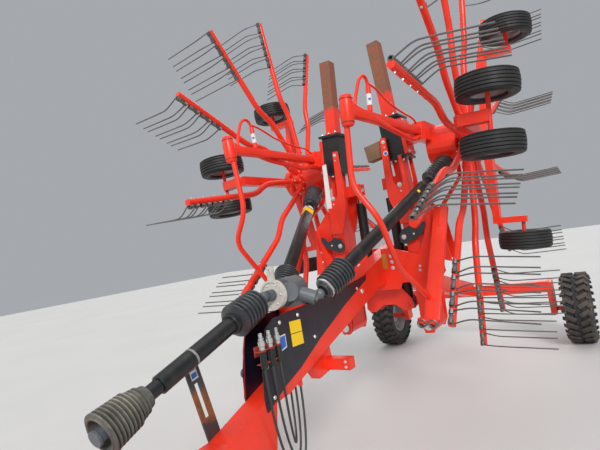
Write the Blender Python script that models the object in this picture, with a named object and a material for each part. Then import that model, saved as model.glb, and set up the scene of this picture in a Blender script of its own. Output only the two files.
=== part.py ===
"""Folded twin-rotor rotary rake.

X is across the machine, Y is rearwards, Z is up and the ground is at zero.
Side is +1 on the +X half and -1 on the -X half.
"""

import math

import bmesh
import bpy
from mathutils import Matrix, Vector

for old in list(bpy.data.objects):
    bpy.data.objects.remove(old, do_unlink=True)

PARTS = bpy.data.collections.new("folded_rotary_rake")
TOOLS = bpy.data.collections.new("cutters")
bpy.context.scene.collection.children.link(PARTS)
bpy.context.scene.collection.children.link(TOOLS)

SEAT_GAP = 0.0003
RUN_GAP = 0.0001
WELD = 0.00001
HALF = 0.5
ROUND = 2 * math.pi

RED = (0.62, 0.028, 0.016)
DARK_RED = (0.30, 0.012, 0.016)
BLACK = (0.022, 0.023, 0.026)
PLASTIC = (0.014, 0.015, 0.017)
GREY = (0.17, 0.18, 0.19)
WIRE = (0.30, 0.30, 0.31)
CREAM = (0.62, 0.60, 0.52)
RUBBER = (0.030, 0.028, 0.026)
PAINT_FINISH = (0.35, 0.0)
STEEL_FINISH = (0.45, 0.8)
DULL_FINISH = (0.75, 0.0)

# Fold hinge of an arm, and the line its beam runs up when folded.
PIVOT_X = 0.34
PIVOT_Z = 0.80
FORK_Z = 1.85
FORK_X = 0.285
ARM_TOP_X = 0.215
ARM_TOP_Z = 2.97
ARM_FOOT_TOP_Z = 1.66
PIN_R = 0.020
PIVOT_TUBE_R = 0.052
PIVOT_TUBE_HALF = 0.118
ARM_FOOT_W = 0.095
ARM_FOOT_D = 0.216
ARM_BEAM_W = 0.09
ARM_BEAM_D = 0.09
BEAM_FOOT_Z = 1.58

# Folding cylinder, from its foot on the frame to its eye on the lever.
CYL_FOOT_X = 0.15
CYL_FOOT_Z = 0.93
CYL_EYE_X = 0.13
CYL_EYE_Z = 1.88
CYL_Y = 0.05
CYL_PIN_R = 0.015
CYL_EYE_R = 0.034
CYL_EYE_HALF = 0.024
CYL_FOOT_HALF = 0.042
BARREL_R = 0.040
BARREL_BORE_R = 0.0205
ROD_R = 0.020
BARREL_START = 0.025
BARREL_BORE_START = 0.10
BARREL_END = 0.84
ROD_START = 0.22

# Rotor unit: its own axes lean outwards at the top.
LEAN = math.radians(4.0)
HUB_X = 0.70
HUB_Y = 0.24
HUB_Z = 2.10

HUB_R = 0.16
AXLE_R = 0.035
HUB_FRONT = 0.0
HUB_BACK = 0.085
ARM_COUNT = 12
ARM_ROOT_R = 0.10
ARM_KNEE_R = 0.62
ARM_STEP_R = 0.78
ARM_END_R = 1.50
ARM_ROOT_X = 0.035
ARM_END_X = 0.055
ARM_STEP = 0.07
ARM_TUBE_R = 0.024
TINE_COUNT = 4
TINE_PITCH = 0.11
TINE_FROM_END = 0.04
TINE_SPLIT = 0.034
TINE_WIRE_R = 0.0048
TINE_KNEE_X = 0.19
TINE_KNEE_TRAIL = 0.045
TINE_TIP_X = 0.525
TINE_TIP_TRAIL = 0.02
TINE_SEAT = 0.030

WHEEL_X = 0.34
WHEEL_R = 0.18
WHEEL_HALF = 0.066
FRONT_PAIR_Y = -0.77
FRONT_PAIR_Z = 0.17
WIDE_PAIR_Y = 0.12
WIDE_PAIR_Z = 0.775

TRACK_HALF = 1.10
AXLE_Y = 2.456
TYRE_R = 0.38
TYRE_HALF = 0.13

# Central gearbox and the drive shafts.
GEARBOX_Y = -1.28
GEARBOX_Z = 1.27
BALL_STEPS = 6
JOINT_BALL_R = 0.030
JOINT_NECK_R = 0.018
DRIVE_X = 0.14
DRIVE_Y = -1.20
DRIVE_Z = 1.225
DRIVE_END_X = 0.574
DRIVE_END_Y = 0.06
DRIVE_END_Z = 1.928
BELL_R = 0.085
BELL_NECK_R = 0.055
BELL_LEN = 0.24
DRIVE_BELL_R = 0.080
DRIVE_TUBE_R = 0.042
DRIVE_BORE_R = 0.0275
DRIVE_ROD_R = 0.027
INPUT_TUBE_R = 0.040
INPUT_BORE_R = 0.0315
INPUT_ROD_R = 0.031
PTO_Y = -1.52
PTO_Z = 1.27
PTO_TIP_Y = -2.52
PTO_TIP_Z = 0.96


def material(name, colour, finish):
    mat = bpy.data.materials.new(name + "_finish")
    mat.use_nodes = True
    shader = mat.node_tree.nodes["Principled BSDF"]
    shader.inputs["Base Color"].default_value = (*colour, 1.0)
    shader.inputs["Roughness"].default_value = finish[0]
    shader.inputs["Metallic"].default_value = finish[1]
    return mat


def axes_along(start, end, side):
    """Matrix whose Z runs from start to end and whose X lies towards side."""
    along = (Vector(end) - Vector(start)).normalized()
    across = Vector(side) - along * along.dot(Vector(side))
    across.normalize()
    third = along.cross(across)
    turn = Matrix((across, third, along)).transposed().to_4x4()
    return Matrix.Translation(Vector(start)) @ turn


def bore_r(radius, sides):
    """Corner radius of a faceted bore whose flats clear a pin of this radius."""
    return radius / math.cos(math.pi / sides) + RUN_GAP


def box(centre, size):
    bm = bmesh.new()
    bmesh.ops.create_cube(bm, size=1.0)
    bmesh.ops.scale(bm, vec=Vector(size), verts=bm.verts)
    bmesh.ops.translate(bm, vec=Vector(centre), verts=bm.verts)
    return bm


def beam(start, end, width, depth, side=(1, 0, 0)):
    """Rectangular bar: width is measured towards side."""
    length = (Vector(end) - Vector(start)).length
    bm = box((0, 0, length * HALF), (width, depth, length))
    bm.transform(axes_along(start, end, side))
    return bm


def taper(start, end, first, last, side=(1, 0, 0)):
    """Bar whose cross size goes from first to last."""
    bm = beam(start, end, 1.0, 1.0, side)
    place = axes_along(start, end, side)
    length = (Vector(end) - Vector(start)).length
    bm.transform(place.inverted())
    for vert in bm.verts:
        size = first if vert.co.z < length * HALF else last
        vert.co.x *= size[0]
        vert.co.y *= size[1]
    bm.transform(place)
    return bm


def rod(start, end, radius, sides=12, radius_end=None):
    length = (Vector(end) - Vector(start)).length
    bm = bmesh.new()
    last = radius if radius_end is None else radius_end
    bmesh.ops.create_cone(bm, cap_ends=True, segments=sides, radius1=radius,
                          radius2=last, depth=length)
    bmesh.ops.translate(bm, vec=(0, 0, length * HALF), verts=bm.verts)
    side = (0, 1, 0) if abs((Vector(end) - Vector(start)).normalized().y) < HALF else (1, 0, 0)
    bm.transform(axes_along(start, end, side))
    return bm


def lathe(profile, steps, start=(0, 0, 0), end=(0, 0, 1)):
    """Turn (radius, height) points round the line from start towards end."""
    bm = bmesh.new()
    closed = min(radius for radius, _ in profile) > 0
    verts = [bm.verts.new((radius, 0, height)) for radius, height in profile]
    edges = [bm.edges.new(pair) for pair in zip(verts, verts[1:])]
    if closed:
        edges.append(bm.edges.new((verts[-1], verts[0])))
    bmesh.ops.spin(bm, geom=verts + edges, cent=(0, 0, 0), axis=(0, 0, 1),
                   dvec=(0, 0, 0), angle=ROUND, steps=steps, use_merge=True)
    bmesh.ops.remove_doubles(bm, verts=bm.verts, dist=WELD)
    bmesh.ops.recalc_face_normals(bm, faces=bm.faces)
    side = (0, 1, 0) if abs((Vector(end) - Vector(start)).normalized().y) < HALF else (1, 0, 0)
    bm.transform(axes_along(start, end, side))
    return bm


def ball(centre, radius, towards):
    """Round ball whose pole points towards the given place."""
    steps = BALL_STEPS
    profile = [(radius * math.sin(math.pi * step / steps),
                -radius * math.cos(math.pi * step / steps)) for step in range(steps + 1)]
    profile[0] = (0, -radius)
    profile[-1] = (0, radius)
    return lathe(profile, 2 * steps, centre, towards)


def plate(outline, thickness, place):
    """Flat outline in X and Y, thickened both ways about its plane."""
    bm = bmesh.new()
    verts = [bm.verts.new((x, y, -thickness * HALF)) for x, y in outline]
    face = bm.faces.new(verts)
    grown = bmesh.ops.extrude_face_region(bm, geom=[face])
    raised = [item for item in grown["geom"] if isinstance(item, bmesh.types.BMVert)]
    bmesh.ops.translate(bm, vec=(0, 0, thickness), verts=raised)
    bmesh.ops.recalc_face_normals(bm, faces=bm.faces)
    bm.transform(place)
    return bm


def upright(y):
    """Place for an outline in X and Z, at this Y."""
    return Matrix.Translation((0, y, 0)) @ Matrix.Rotation(math.pi * HALF, 4, "X")


def lengthwise(x):
    """Place for an outline in Y and Z, at this X."""
    turn = Matrix(((0, 0, 1, x), (1, 0, 0, 0), (0, 1, 0, 0), (0, 0, 0, 1)))
    return turn


def wires(paths, radius, resolution):
    """Round wires along the paths, as closed tubes."""
    curve = bpy.data.curves.new("route", "CURVE")
    curve.dimensions = "3D"
    curve.bevel_depth = radius
    curve.bevel_resolution = resolution
    curve.use_fill_caps = True
    for path in paths:
        line = curve.splines.new("POLY")
        line.points.add(len(path) - 1)
        for point, place in zip(line.points, path):
            point.co = (*place, 1.0)
    holder = bpy.data.objects.new("route", curve)
    TOOLS.objects.link(holder)
    bpy.context.view_layer.update()
    graph = bpy.context.evaluated_depsgraph_get()
    mesh = bpy.data.meshes.new_from_object(holder.evaluated_get(graph))
    bm = bmesh.new()
    bm.from_mesh(mesh)
    bmesh.ops.remove_doubles(bm, verts=bm.verts, dist=WELD)
    bmesh.ops.recalc_face_normals(bm, faces=bm.faces)
    bpy.data.objects.remove(holder, do_unlink=True)
    bpy.data.meshes.remove(mesh)
    return bm


def mesh_object(name, bm, home):
    mesh = bpy.data.meshes.new(name)
    bm.to_mesh(mesh)
    bm.free()
    obj = bpy.data.objects.new(name, mesh)
    home.objects.link(obj)
    return obj


def combined(pieces):
    """One mesh that holds all the pieces side by side."""
    whole = bmesh.new()
    for piece in pieces:
        mesh = bpy.data.meshes.new("piece")
        piece.to_mesh(mesh)
        piece.free()
        whole.from_mesh(mesh)
        bpy.data.meshes.remove(mesh)
    return whole


def boolean(obj, other, operation):
    step = obj.modifiers.new(operation.lower(), "BOOLEAN")
    step.operation = operation
    step.solver = "EXACT"
    step.use_self = True
    step.object = other


def settle(obj, tools):
    """Keep the result of the object's modifiers and drop its tools."""
    bpy.context.view_layer.update()
    graph = bpy.context.evaluated_depsgraph_get()
    mesh = bpy.data.meshes.new_from_object(obj.evaluated_get(graph))
    obj.modifiers.clear()
    old = obj.data
    obj.data = mesh
    bpy.data.meshes.remove(old)
    mesh.name = obj.name
    for tool in tools:
        bpy.data.objects.remove(tool, do_unlink=True)


def part(name, pieces, colour, finish, holes=(), parent=None, origin=(0, 0, 0)):
    """One closed body from overlapping pieces, less the holes."""
    obj = mesh_object(name, pieces[0], PARTS)
    tools = []
    if len(pieces) > 1:
        rest = mesh_object(name + "_rest", combined(pieces[1:]), TOOLS)
        boolean(obj, rest, "UNION")
        tools.append(rest)
    if holes:
        cut = mesh_object(name + "_cut", combined(holes), TOOLS)
        boolean(obj, cut, "DIFFERENCE")
        tools.append(cut)
    if tools:
        settle(obj, tools)
    obj.data.transform(Matrix.Translation(-Vector(origin)))
    obj.location = origin
    obj.data.materials.clear()
    obj.data.materials.append(material(name, colour, finish))
    if parent:
        obj.parent = parent
    return obj


def empty(name, place):
    holder = bpy.data.objects.new(name, None)
    PARTS.objects.link(holder)
    holder.matrix_world = place
    return holder


# Headstock pivot at the drawbar's front.
HEAD_PIVOT_Y = -2.60
HEAD_BASE_Z = 0.49
HEAD_TOP_Z = 0.70
HEAD_PIN_R = 0.030
HEAD_EYE_R = 0.052
HEAD_EYE_Z = (0.525, 0.69)

# Main frame: the spine's outline in Y and Z, from the front round its top.
SPINE_W = 0.12
SPINE_OUTLINE = ((-2.48, 0.52), (-2.48, 0.70), (-1.95, 0.72), (-1.55, 0.845), (-0.45, 1.25),
                 (0.19, 1.41), (0.34, 1.20), (2.36, 0.74), (2.36, 0.58), (0.30, 1.03),
                 (0.16, 1.12), (-0.25, 1.115), (-0.53, 1.04), (-1.05, 0.90), (-1.49, 0.775),
                 (-1.60, 0.77), (-1.66, 0.52))
TONGUE_Z = 0.63
TONGUE_Y = -2.40
TONGUE_SIZE = (0.07, 0.10)
CROSS_Y = 2.40
CROSS_Z = 0.64
CROSS_HALF = 0.86
CROSS_W = 0.12
CROSS_H = 0.12
LEG_T = 0.06
LEG_W = 0.14
LEG_FOOT_Z = 0.33
SPINDLE_R = 0.028
SPINDLE_END = 1.10
STAND_W = 0.11
STAND_D = 0.11
STAND_FOOT_Z = 0.90
STAND_TOP_Z = 1.185
LUG_OUTLINE = ((-1.25, 0.87), (-1.02, 0.94), (-0.99, 0.76), (-1.16, 0.74))
LUG_T = 0.06
LUG_TUBE = 0.065
LUG_TUBE_Y = -1.05
LUG_TUBE_Z = 0.80
LUG_TUBE_END = 0.19

FOOT_LUG = ((0.05, 1.16), (0.10, 1.10), (0.19, 0.975), (0.195, 0.915), (0.165, 0.885), (0.12, 0.89),
            (0.05, 0.94))
FOOT_LUG_T = 0.012
FOOT_LUG_OFF = 0.050

# Hoses hang from the coupler holder to glands under the spine.
COUPLER_X = 0.10
COUPLER_Y = (-1.70, -1.64, -1.58)
COUPLER_Z = (0.965, 1.13)
COUPLER_R = 0.017
GLAND_X = (-0.035, 0.0, 0.035)
GLAND_Y = -1.36
GLAND_Z = 0.77
GLAND_ROOT_Z = 0.86
GLAND_R = 0.013
HOSE_R = 0.009
HOSE_SAG = (0.62, 0.54, 0.46)
HOSE_STEPS = 24

frame_pieces = [plate(SPINE_OUTLINE, SPINE_W, lengthwise(0))]
frame_pieces.append(box((0, CROSS_Y, CROSS_Z), (2 * CROSS_HALF, CROSS_W, CROSS_H)))
frame_pieces.append(beam((0, GEARBOX_Y, STAND_FOOT_Z), (0, GEARBOX_Y, STAND_TOP_Z),
                         STAND_W, STAND_D))
frame_pieces.append(rod((0, HEAD_PIVOT_Y, HEAD_EYE_Z[0]), (0, HEAD_PIVOT_Y, HEAD_EYE_Z[1]),
                        HEAD_EYE_R, 20))
frame_pieces.append(beam((0, HEAD_PIVOT_Y, TONGUE_Z), (0, TONGUE_Y, TONGUE_Z), *TONGUE_SIZE))
frame_pieces.append(plate(LUG_OUTLINE, LUG_T, lengthwise(0)))
frame_pieces.append(beam((0, LUG_TUBE_Y, LUG_TUBE_Z), (LUG_TUBE_END, LUG_TUBE_Y, LUG_TUBE_Z),
                         LUG_TUBE, LUG_TUBE, (0, 1, 0)))
lug = list(FOOT_LUG) + [(-x, z) for x, z in reversed(FOOT_LUG)]
for y in (CYL_Y - FOOT_LUG_OFF, CYL_Y + FOOT_LUG_OFF):
    frame_pieces.append(plate(lug, FOOT_LUG_T, upright(y)))
for hose_x in GLAND_X:
    frame_pieces.append(rod((hose_x, GLAND_Y, GLAND_Z), (hose_x, GLAND_Y, GLAND_ROOT_Z), GLAND_R, 10))
frame_holes = [rod((0, HEAD_PIVOT_Y, HEAD_BASE_Z), (0, HEAD_PIVOT_Y, HEAD_TOP_Z),
                   bore_r(HEAD_PIN_R, 16), 16)]
for side in (-1, 1):
    leg_x = side * CROSS_HALF
    frame_pieces.append(beam((leg_x, CROSS_Y, CROSS_Z + LEG_T), (leg_x, AXLE_Y, LEG_FOOT_Z),
                             LEG_T, LEG_W))
    frame_pieces.append(rod((leg_x, AXLE_Y, TYRE_R), (side * SPINDLE_END, AXLE_Y, TYRE_R),
                            SPINDLE_R))
    frame_pieces.append(rod((side * CYL_FOOT_X, CYL_Y - FOOT_LUG_OFF - FOOT_LUG_T, CYL_FOOT_Z),
                            (side * CYL_FOOT_X, CYL_Y + FOOT_LUG_OFF + FOOT_LUG_T, CYL_FOOT_Z),
                            CYL_PIN_R, 16))
part("main_frame", frame_pieces, RED, PAINT_FINISH, frame_holes)

# Cross plates bolted to the spine: they carry the arms' pins.
TOWER_Y = 0.135
TOWER_T = 0.016
TOWER_EDGE = ((0.10, 1.075), (0.17, 1.075), (0.19, 1.12), (0.285, 1.12), (0.29, 0.80),
              (0.31, 0.745), (0.37, 0.745), (0.395, 0.80), (0.40, 1.10), (0.44, 1.15),
              (0.43, 1.29))
TOWER_INNER_TOP = (0.14, 1.385)
HORN_EDGE = ((0.485, 1.58), (0.46, 1.60), (0.405, 1.42), (0.35, 1.315))
NOTCH_Z = 1.112
NOTCH_TOP_Z = 1.50


def cross_plate(name, sign, edge, pins):
    outline = list(edge) + [(-x, z) for x, z in reversed(edge)]
    y = sign * TOWER_Y
    pieces = [plate(outline, TOWER_T, upright(y))]
    holes = [box((0, y, (NOTCH_Z + NOTCH_TOP_Z) * HALF),
                 (SPINE_W + 2 * SEAT_GAP, 2 * TOWER_T, NOTCH_TOP_Z - NOTCH_Z))]
    back = TOWER_Y + TOWER_T
    for side in (-1, 1):
        pin_x = side * PIVOT_X
        if pins:
            pieces.append(rod((pin_x, -back, PIVOT_Z), (pin_x, back, PIVOT_Z), PIN_R, 16))
        else:
            holes.append(rod((pin_x, 0, PIVOT_Z), (pin_x, 2 * back, PIVOT_Z),
                             PIN_R + SEAT_GAP, 16))
    part(name, pieces, RED, PAINT_FINISH, holes)


cross_plate("cross_plate_front", -1, TOWER_EDGE + HORN_EDGE + (TOWER_INNER_TOP,), True)
cross_plate("cross_plate_rear", 1, TOWER_EDGE + (TOWER_INNER_TOP,), False)

# Grey transport latch on the front cross plate, at each arm's foot.
LATCH_OUTLINE = ((0.23, 1.23), (0.33, 1.23), (0.44, 1.50), (0.42, 1.55), (0.30, 1.53), (0.23, 1.50))
LATCH_T = 0.012
LATCH_RING = (0.30, 1.56)
LATCH_RING_R = 0.045
LATCH_HOLE_R = 0.022
LATCH_Y = -TOWER_Y - TOWER_T * HALF - SEAT_GAP - LATCH_T * HALF
for side, tag in ((-1, "l"), (1, "r")):
    outline = [(side * x, z) for x, z in LATCH_OUTLINE]
    ring_x = side * LATCH_RING[0]
    part("arm_latch_" + tag,
         [plate(outline, LATCH_T, upright(LATCH_Y)),
          rod((ring_x, LATCH_Y - LATCH_T, LATCH_RING[1]), (ring_x, LATCH_Y + LATCH_T * HALF,
                                                           LATCH_RING[1]), LATCH_RING_R, 16)],
         GREY, STEEL_FINISH,
         [rod((ring_x, LATCH_Y - 2 * LATCH_T, LATCH_RING[1]),
              (ring_x, LATCH_Y + 2 * LATCH_T, LATCH_RING[1]), LATCH_HOLE_R, 12)])

# Black guard plate on each side of the spine, below the gearbox.
SIDE_GUARD_OUTLINE = ((-1.40, 1.175), (-1.55, 1.165), (-1.62, 1.13), (-1.65, 1.04), (-1.68, 0.93),
                      (-1.69, 0.81), (-1.68, 0.75), (-1.53, 0.82), (-1.37, 0.87), (-1.14, 0.97),
                      (-0.79, 1.10), (-0.47, 1.20), (-0.45, 1.235),
                      (-1.08, 1.175))
SIDE_GUARD_T = 0.005
SIDE_GUARD_X = SPINE_W * HALF + SEAT_GAP + SIDE_GUARD_T * HALF
for side, tag in ((-1, "l"), (1, "r")):
    part("side_guard_" + tag, [plate(SIDE_GUARD_OUTLINE, SIDE_GUARD_T,
                                     lengthwise(side * SIDE_GUARD_X))],
         BLACK, DULL_FINISH)

# Holder with three couplers on the guard plate, and the hoses that hang from it.
HOLDER_T = 0.012
HOLDER_Z = 1.045
HOLDER_IN = SIDE_GUARD_X + SIDE_GUARD_T * HALF + SEAT_GAP
HOLDER_SIZE = (COUPLER_X - HOLDER_IN, 0.17, HOLDER_T)
HOLDER_PAD = (0.006, 0.17, 0.05)
holder_y = COUPLER_Y[1]
holder = [box((HOLDER_IN + HOLDER_SIZE[0] * HALF, holder_y, HOLDER_Z), HOLDER_SIZE),
          box((HOLDER_IN + HOLDER_PAD[0] * HALF, holder_y, HOLDER_Z), HOLDER_PAD)]
for y in COUPLER_Y:
    holder.append(rod((COUPLER_X, y, COUPLER_Z[0]), (COUPLER_X, y, COUPLER_Z[1]), COUPLER_R, 12))
part("hose_holder", holder, BLACK, DULL_FINISH)


def hose_route(y, end_x, sag):
    """Points of a hose that leaves straight down and comes back straight up."""
    start = Vector((COUPLER_X, y, COUPLER_Z[0] - SEAT_GAP))
    end = Vector((end_x, GLAND_Y, GLAND_Z - SEAT_GAP))
    drop = Vector((0, 0, sag))
    points = []
    for step in range(HOSE_STEPS + 1):
        share = step / HOSE_STEPS
        rest = 1 - share
        points.append(start * rest ** 3 + (start - drop) * 3 * rest ** 2 * share
                      + (end - drop) * 3 * rest * share ** 2 + end * share ** 3)
    return points


for number, (y, end_x, sag) in enumerate(zip(COUPLER_Y, reversed(GLAND_X), HOSE_SAG), 1):
    part("hose_" + str(number), [wires([hose_route(y, end_x, sag)], HOSE_R, 2)], PLASTIC, DULL_FINISH)

# Slotted upright bar on the spine's side, near its front.
BAR_W = 0.012
BAR_X = -(SPINE_W * HALF + SEAT_GAP + BAR_W * HALF)
BAR_START = (BAR_X, -1.885, 0.62)
BAR_END = (BAR_X, -2.00, 1.095)
BAR_D = 0.075
BAR_SLOT = ((-1.935, 0.82), (-1.975, 0.985))
BAR_SLOT_D = 0.026
part("slotted_bar",
     [beam(BAR_START, BAR_END, BAR_W, BAR_D)],
     GREY, STEEL_FINISH,
     [beam((BAR_X, *BAR_SLOT[0]), (BAR_X, *BAR_SLOT[1]), 2 * BAR_W, BAR_SLOT_D)])

# Central gearbox, with a stub towards each rotor.
GEAR_R = 0.075
GEAR_HALF = 0.070
STUB_R = 0.040
STUB_END = 0.036
INPUT_STUB_R = 0.030
CAP_R = 0.052
CAP_REACH = (0.055, -0.085, 0)


def drive_line(side):
    start = Vector((side * DRIVE_X, DRIVE_Y, DRIVE_Z))
    end = Vector((side * DRIVE_END_X, DRIVE_END_Y, DRIVE_END_Z))
    return start, end, (end - start).normalized()


gear_centre = Vector((0, GEARBOX_Y, GEARBOX_Z))
gear_pieces = [rod((0, GEARBOX_Y - GEAR_HALF, GEARBOX_Z), (0, GEARBOX_Y + GEAR_HALF, GEARBOX_Z),
                   GEAR_R, 20)]
gear_pieces.append(beam((0, GEARBOX_Y, STAND_TOP_Z + SEAT_GAP), gear_centre, STAND_W, STAND_D))
gear_pieces.append(rod(gear_centre, gear_centre + Vector(CAP_REACH), CAP_R, 20))
for side in (-1, 1):
    start, end, along = drive_line(side)
    gear_pieces.append(rod(gear_centre, start - along * STUB_END, STUB_R, 16))
    gear_pieces.append(rod(start - along * (STUB_END + JOINT_NECK_R), start, JOINT_NECK_R, 8))
    gear_pieces.append(ball(start, JOINT_BALL_R, end))
input_start = Vector((0, PTO_Y, PTO_Z))
input_end = Vector((0, PTO_TIP_Y, PTO_TIP_Z))
gear_pieces.append(rod(gear_centre, (0, PTO_Y + STUB_END, PTO_Z), INPUT_STUB_R, 16))
gear_pieces.append(rod((0, PTO_Y + STUB_END + JOINT_NECK_R, PTO_Z), input_start, JOINT_NECK_R, 8))
gear_pieces.append(ball(input_start, JOINT_BALL_R, input_end))
part("central_gearbox", gear_pieces, GREY, STEEL_FINISH)

# Cream guard disc on the gearbox input, with an ear.
DISC_R = 0.078
DISC_T = 0.020
DISC_Y = -1.43
DISC_Z = 1.27
EAR_TOP = 0.15
EAR_W = 0.045
EAR_HOLE_R = 0.009
disc_pieces = [rod((0, DISC_Y - DISC_T * HALF, DISC_Z), (0, DISC_Y + DISC_T * HALF, DISC_Z),
                   DISC_R, 28)]
disc_pieces.append(box((0, DISC_Y, DISC_Z + EAR_TOP * HALF), (EAR_W, DISC_T * HALF, EAR_TOP)))
disc_holes = [rod(gear_centre, (0, PTO_Y + STUB_END, PTO_Z), INPUT_STUB_R + SEAT_GAP, 16)]
disc_holes.append(rod((0, DISC_Y - DISC_T, DISC_Z + EAR_TOP - EAR_W * HALF),
                      (0, DISC_Y + DISC_T, DISC_Z + EAR_TOP - EAR_W * HALF), EAR_HOLE_R, 10))
part("guard_disc", disc_pieces, CREAM, PAINT_FINISH, disc_holes)

# Parking stand and headstock at the drawbar's front.
PARK_Y = -2.34
PARK_COLLAR = 0.13
PARK_X = -(SPINE_W * HALF + SEAT_GAP + PARK_COLLAR * HALF)
PARK_Z = 0.61
PARK_TUBE = 0.06
PARK_TOP_Z = 0.84
PARK_FOOT = 0.22
PARK_FOOT_T = 0.012
PARK_COLLAR_H = 0.20
HITCH_HALF = 0.39
FRONT_Y = -(AXLE_Y + TYRE_R)
HITCH_IN = 0.065
HITCH_Y = FRONT_Y + HITCH_IN
HITCH_Z = 0.58
HITCH_TUBE = 0.09
HITCH_PIN_R = 0.018
HITCH_PIN_OUT = 0.075
YOKE_T = 0.03
YOKE_W = 0.16
YOKE_BACK = 0.065
YOKE_Z = (0.505, 0.71)

yoke_size = (YOKE_W, HEAD_PIVOT_Y + YOKE_BACK - FRONT_Y, YOKE_T)
yoke_y = (HEAD_PIVOT_Y + YOKE_BACK + FRONT_Y) * HALF
part("headstock",
     [box((0, HITCH_Y, HITCH_Z), (2 * HITCH_HALF, HITCH_TUBE, HITCH_TUBE)),
      rod((-HITCH_HALF - HITCH_PIN_OUT, HITCH_Y, HITCH_Z),
          (HITCH_HALF + HITCH_PIN_OUT, HITCH_Y, HITCH_Z), HITCH_PIN_R, 16),
      box((0, yoke_y, YOKE_Z[0]), yoke_size),
      box((0, yoke_y, YOKE_Z[1]), yoke_size),
      box((0, HITCH_Y, (YOKE_Z[0] + YOKE_Z[1]) * HALF),
          (YOKE_W, HITCH_TUBE, YOKE_Z[1] - YOKE_Z[0])),
      rod((0, HEAD_PIVOT_Y, HEAD_BASE_Z - YOKE_T), (0, HEAD_PIVOT_Y, HEAD_TOP_Z + YOKE_T),
          HEAD_PIN_R, 16)],
     RED, PAINT_FINISH, origin=(0, HEAD_PIVOT_Y, HITCH_Z))

part("parking_stand",
     [beam((PARK_X, PARK_Y, PARK_FOOT_T), (PARK_X, PARK_Y, PARK_TOP_Z), PARK_TUBE, PARK_TUBE),
      box((PARK_X, PARK_Y, PARK_FOOT_T * HALF), (PARK_FOOT, PARK_FOOT, PARK_FOOT_T))],
     GREY, STEEL_FINISH, origin=(PARK_X, PARK_Y, 0))
PARK_HOLE = PARK_TUBE + 2 * SEAT_GAP
part("stand_collar",
     [box((PARK_X, PARK_Y, PARK_Z), (PARK_COLLAR, PARK_COLLAR, PARK_COLLAR_H))],
     RED, PAINT_FINISH,
     [box((PARK_X, PARK_Y, PARK_Z), (PARK_HOLE, PARK_HOLE, 2 * PARK_COLLAR_H))])

# Input shaft: outer half hangs at the gearbox, inner half slides in it.
INPUT_SPLIT = 0.92
INPUT_ROD_START = 0.30
YOKE_R = 0.032
YOKE_START = JOINT_BALL_R + SEAT_GAP


def shaft_pieces(length, tube_r, bore_r, rod_r, tube_end, rod_start, bell_r):
    """Lathe profiles of a telescopic shaft's two guarded halves."""
    outer = ((0, YOKE_START), (YOKE_R, YOKE_START), (YOKE_R, BELL_LEN * BELL_SHARES[0]),
             (BELL_NECK_R, BELL_LEN * BELL_SHARES[1]), (bell_r, BELL_LEN * BELL_SHARES[2]),
             (bell_r, BELL_LEN), (tube_r, BELL_LEN * BELL_SHARES[3]), (tube_r, tube_end),
             (bore_r, tube_end), (bore_r, BELL_LEN * BELL_SHARES[3]),
             (0, BELL_LEN * BELL_SHARES[3]))
    bell = length - BELL_LEN
    inner = ((0, rod_start), (rod_r, rod_start), (rod_r, bell - BELL_LEN * BELL_SHARES[1]),
             (BELL_R, bell), (BELL_R, length - BELL_LEN * BELL_SHARES[2]),
             (BELL_NECK_R, length - BELL_LEN * BELL_SHARES[1]),
             (YOKE_R, length - BELL_LEN * BELL_SHARES[0]), (YOKE_R, length - YOKE_START),
             (0, length - YOKE_START))
    return outer, inner


BELL_SHARES = (0.10, 0.16, 0.28, 1.12)
SHAFT_STEPS = 14

input_len = (input_end - input_start).length
outer, inner = shaft_pieces(input_len, INPUT_TUBE_R, INPUT_BORE_R, INPUT_ROD_R,
                            INPUT_SPLIT * input_len - BELL_LEN, INPUT_ROD_START, BELL_R)
part("input_shaft_outer", [lathe(outer, SHAFT_STEPS, input_start, input_end)],
     PLASTIC, DULL_FINISH, origin=input_start)
part("input_shaft_inner", [lathe(inner, SHAFT_STEPS, input_start, input_end)],
     PLASTIC, DULL_FINISH, origin=input_start)

# One arm and its rotor unit for each side.
RIM_R = 0.100
RIM_HALF = 0.044
BIG_RIM_R = 0.205
BIG_RIM_HALF = 0.105


def tyre_profile(outer, half, bead, bead_half, crown_share, wall_share):
    """Closed cross section of a tyre, as (radius, offset)."""
    shoulder = outer - (outer - bead) * wall_share
    top = half * crown_share
    return ((bead, -bead_half), (shoulder, -half), (outer, -top), (outer, top),
            (shoulder, half), (bead, bead_half))


def rim_profile(radius, half, bore, dish_share):
    """Solid dished wheel centre with a bore, as (radius, offset)."""
    lip = radius * LIP_SHARE
    web = half * dish_share
    return ((bore, -web), (lip, -half), (radius, -half), (radius, half), (lip, half),
            (bore, web))


LIP_SHARE = 0.90
CROWN_SHARE = 0.72
WALL_SHARE = 0.45
DISH_SHARE = 0.40
RIM_SINK = 0.006
SMALL_SPINDLE_R = 0.014
TYRE_STEPS = 20
RIM_STEPS = 20
BIG_STEPS = 32
BIG_RIM_STEPS = 32
HUB_STEPS = 20


def wheel(name, place, direction, sizes, steps, rim_steps, parent=None):
    """Tyre and rim about one axle line."""
    outer, half, rim_r, rim_half, bore = sizes
    start = Vector(place)
    end = start + Vector(direction)
    bead = rim_r + SEAT_GAP
    tyre = tyre_profile(outer, half, bead, rim_half, CROWN_SHARE, WALL_SHARE)
    part(name + "_tyre", [lathe(tyre, steps, start, end)], RUBBER, DULL_FINISH,
         origin=place, parent=parent)
    rim = rim_profile(rim_r, rim_half, bore, DISH_SHARE)
    part(name + "_rim", [lathe(rim, rim_steps, start, end)], DARK_RED, PAINT_FINISH,
         origin=place, parent=parent)


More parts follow.
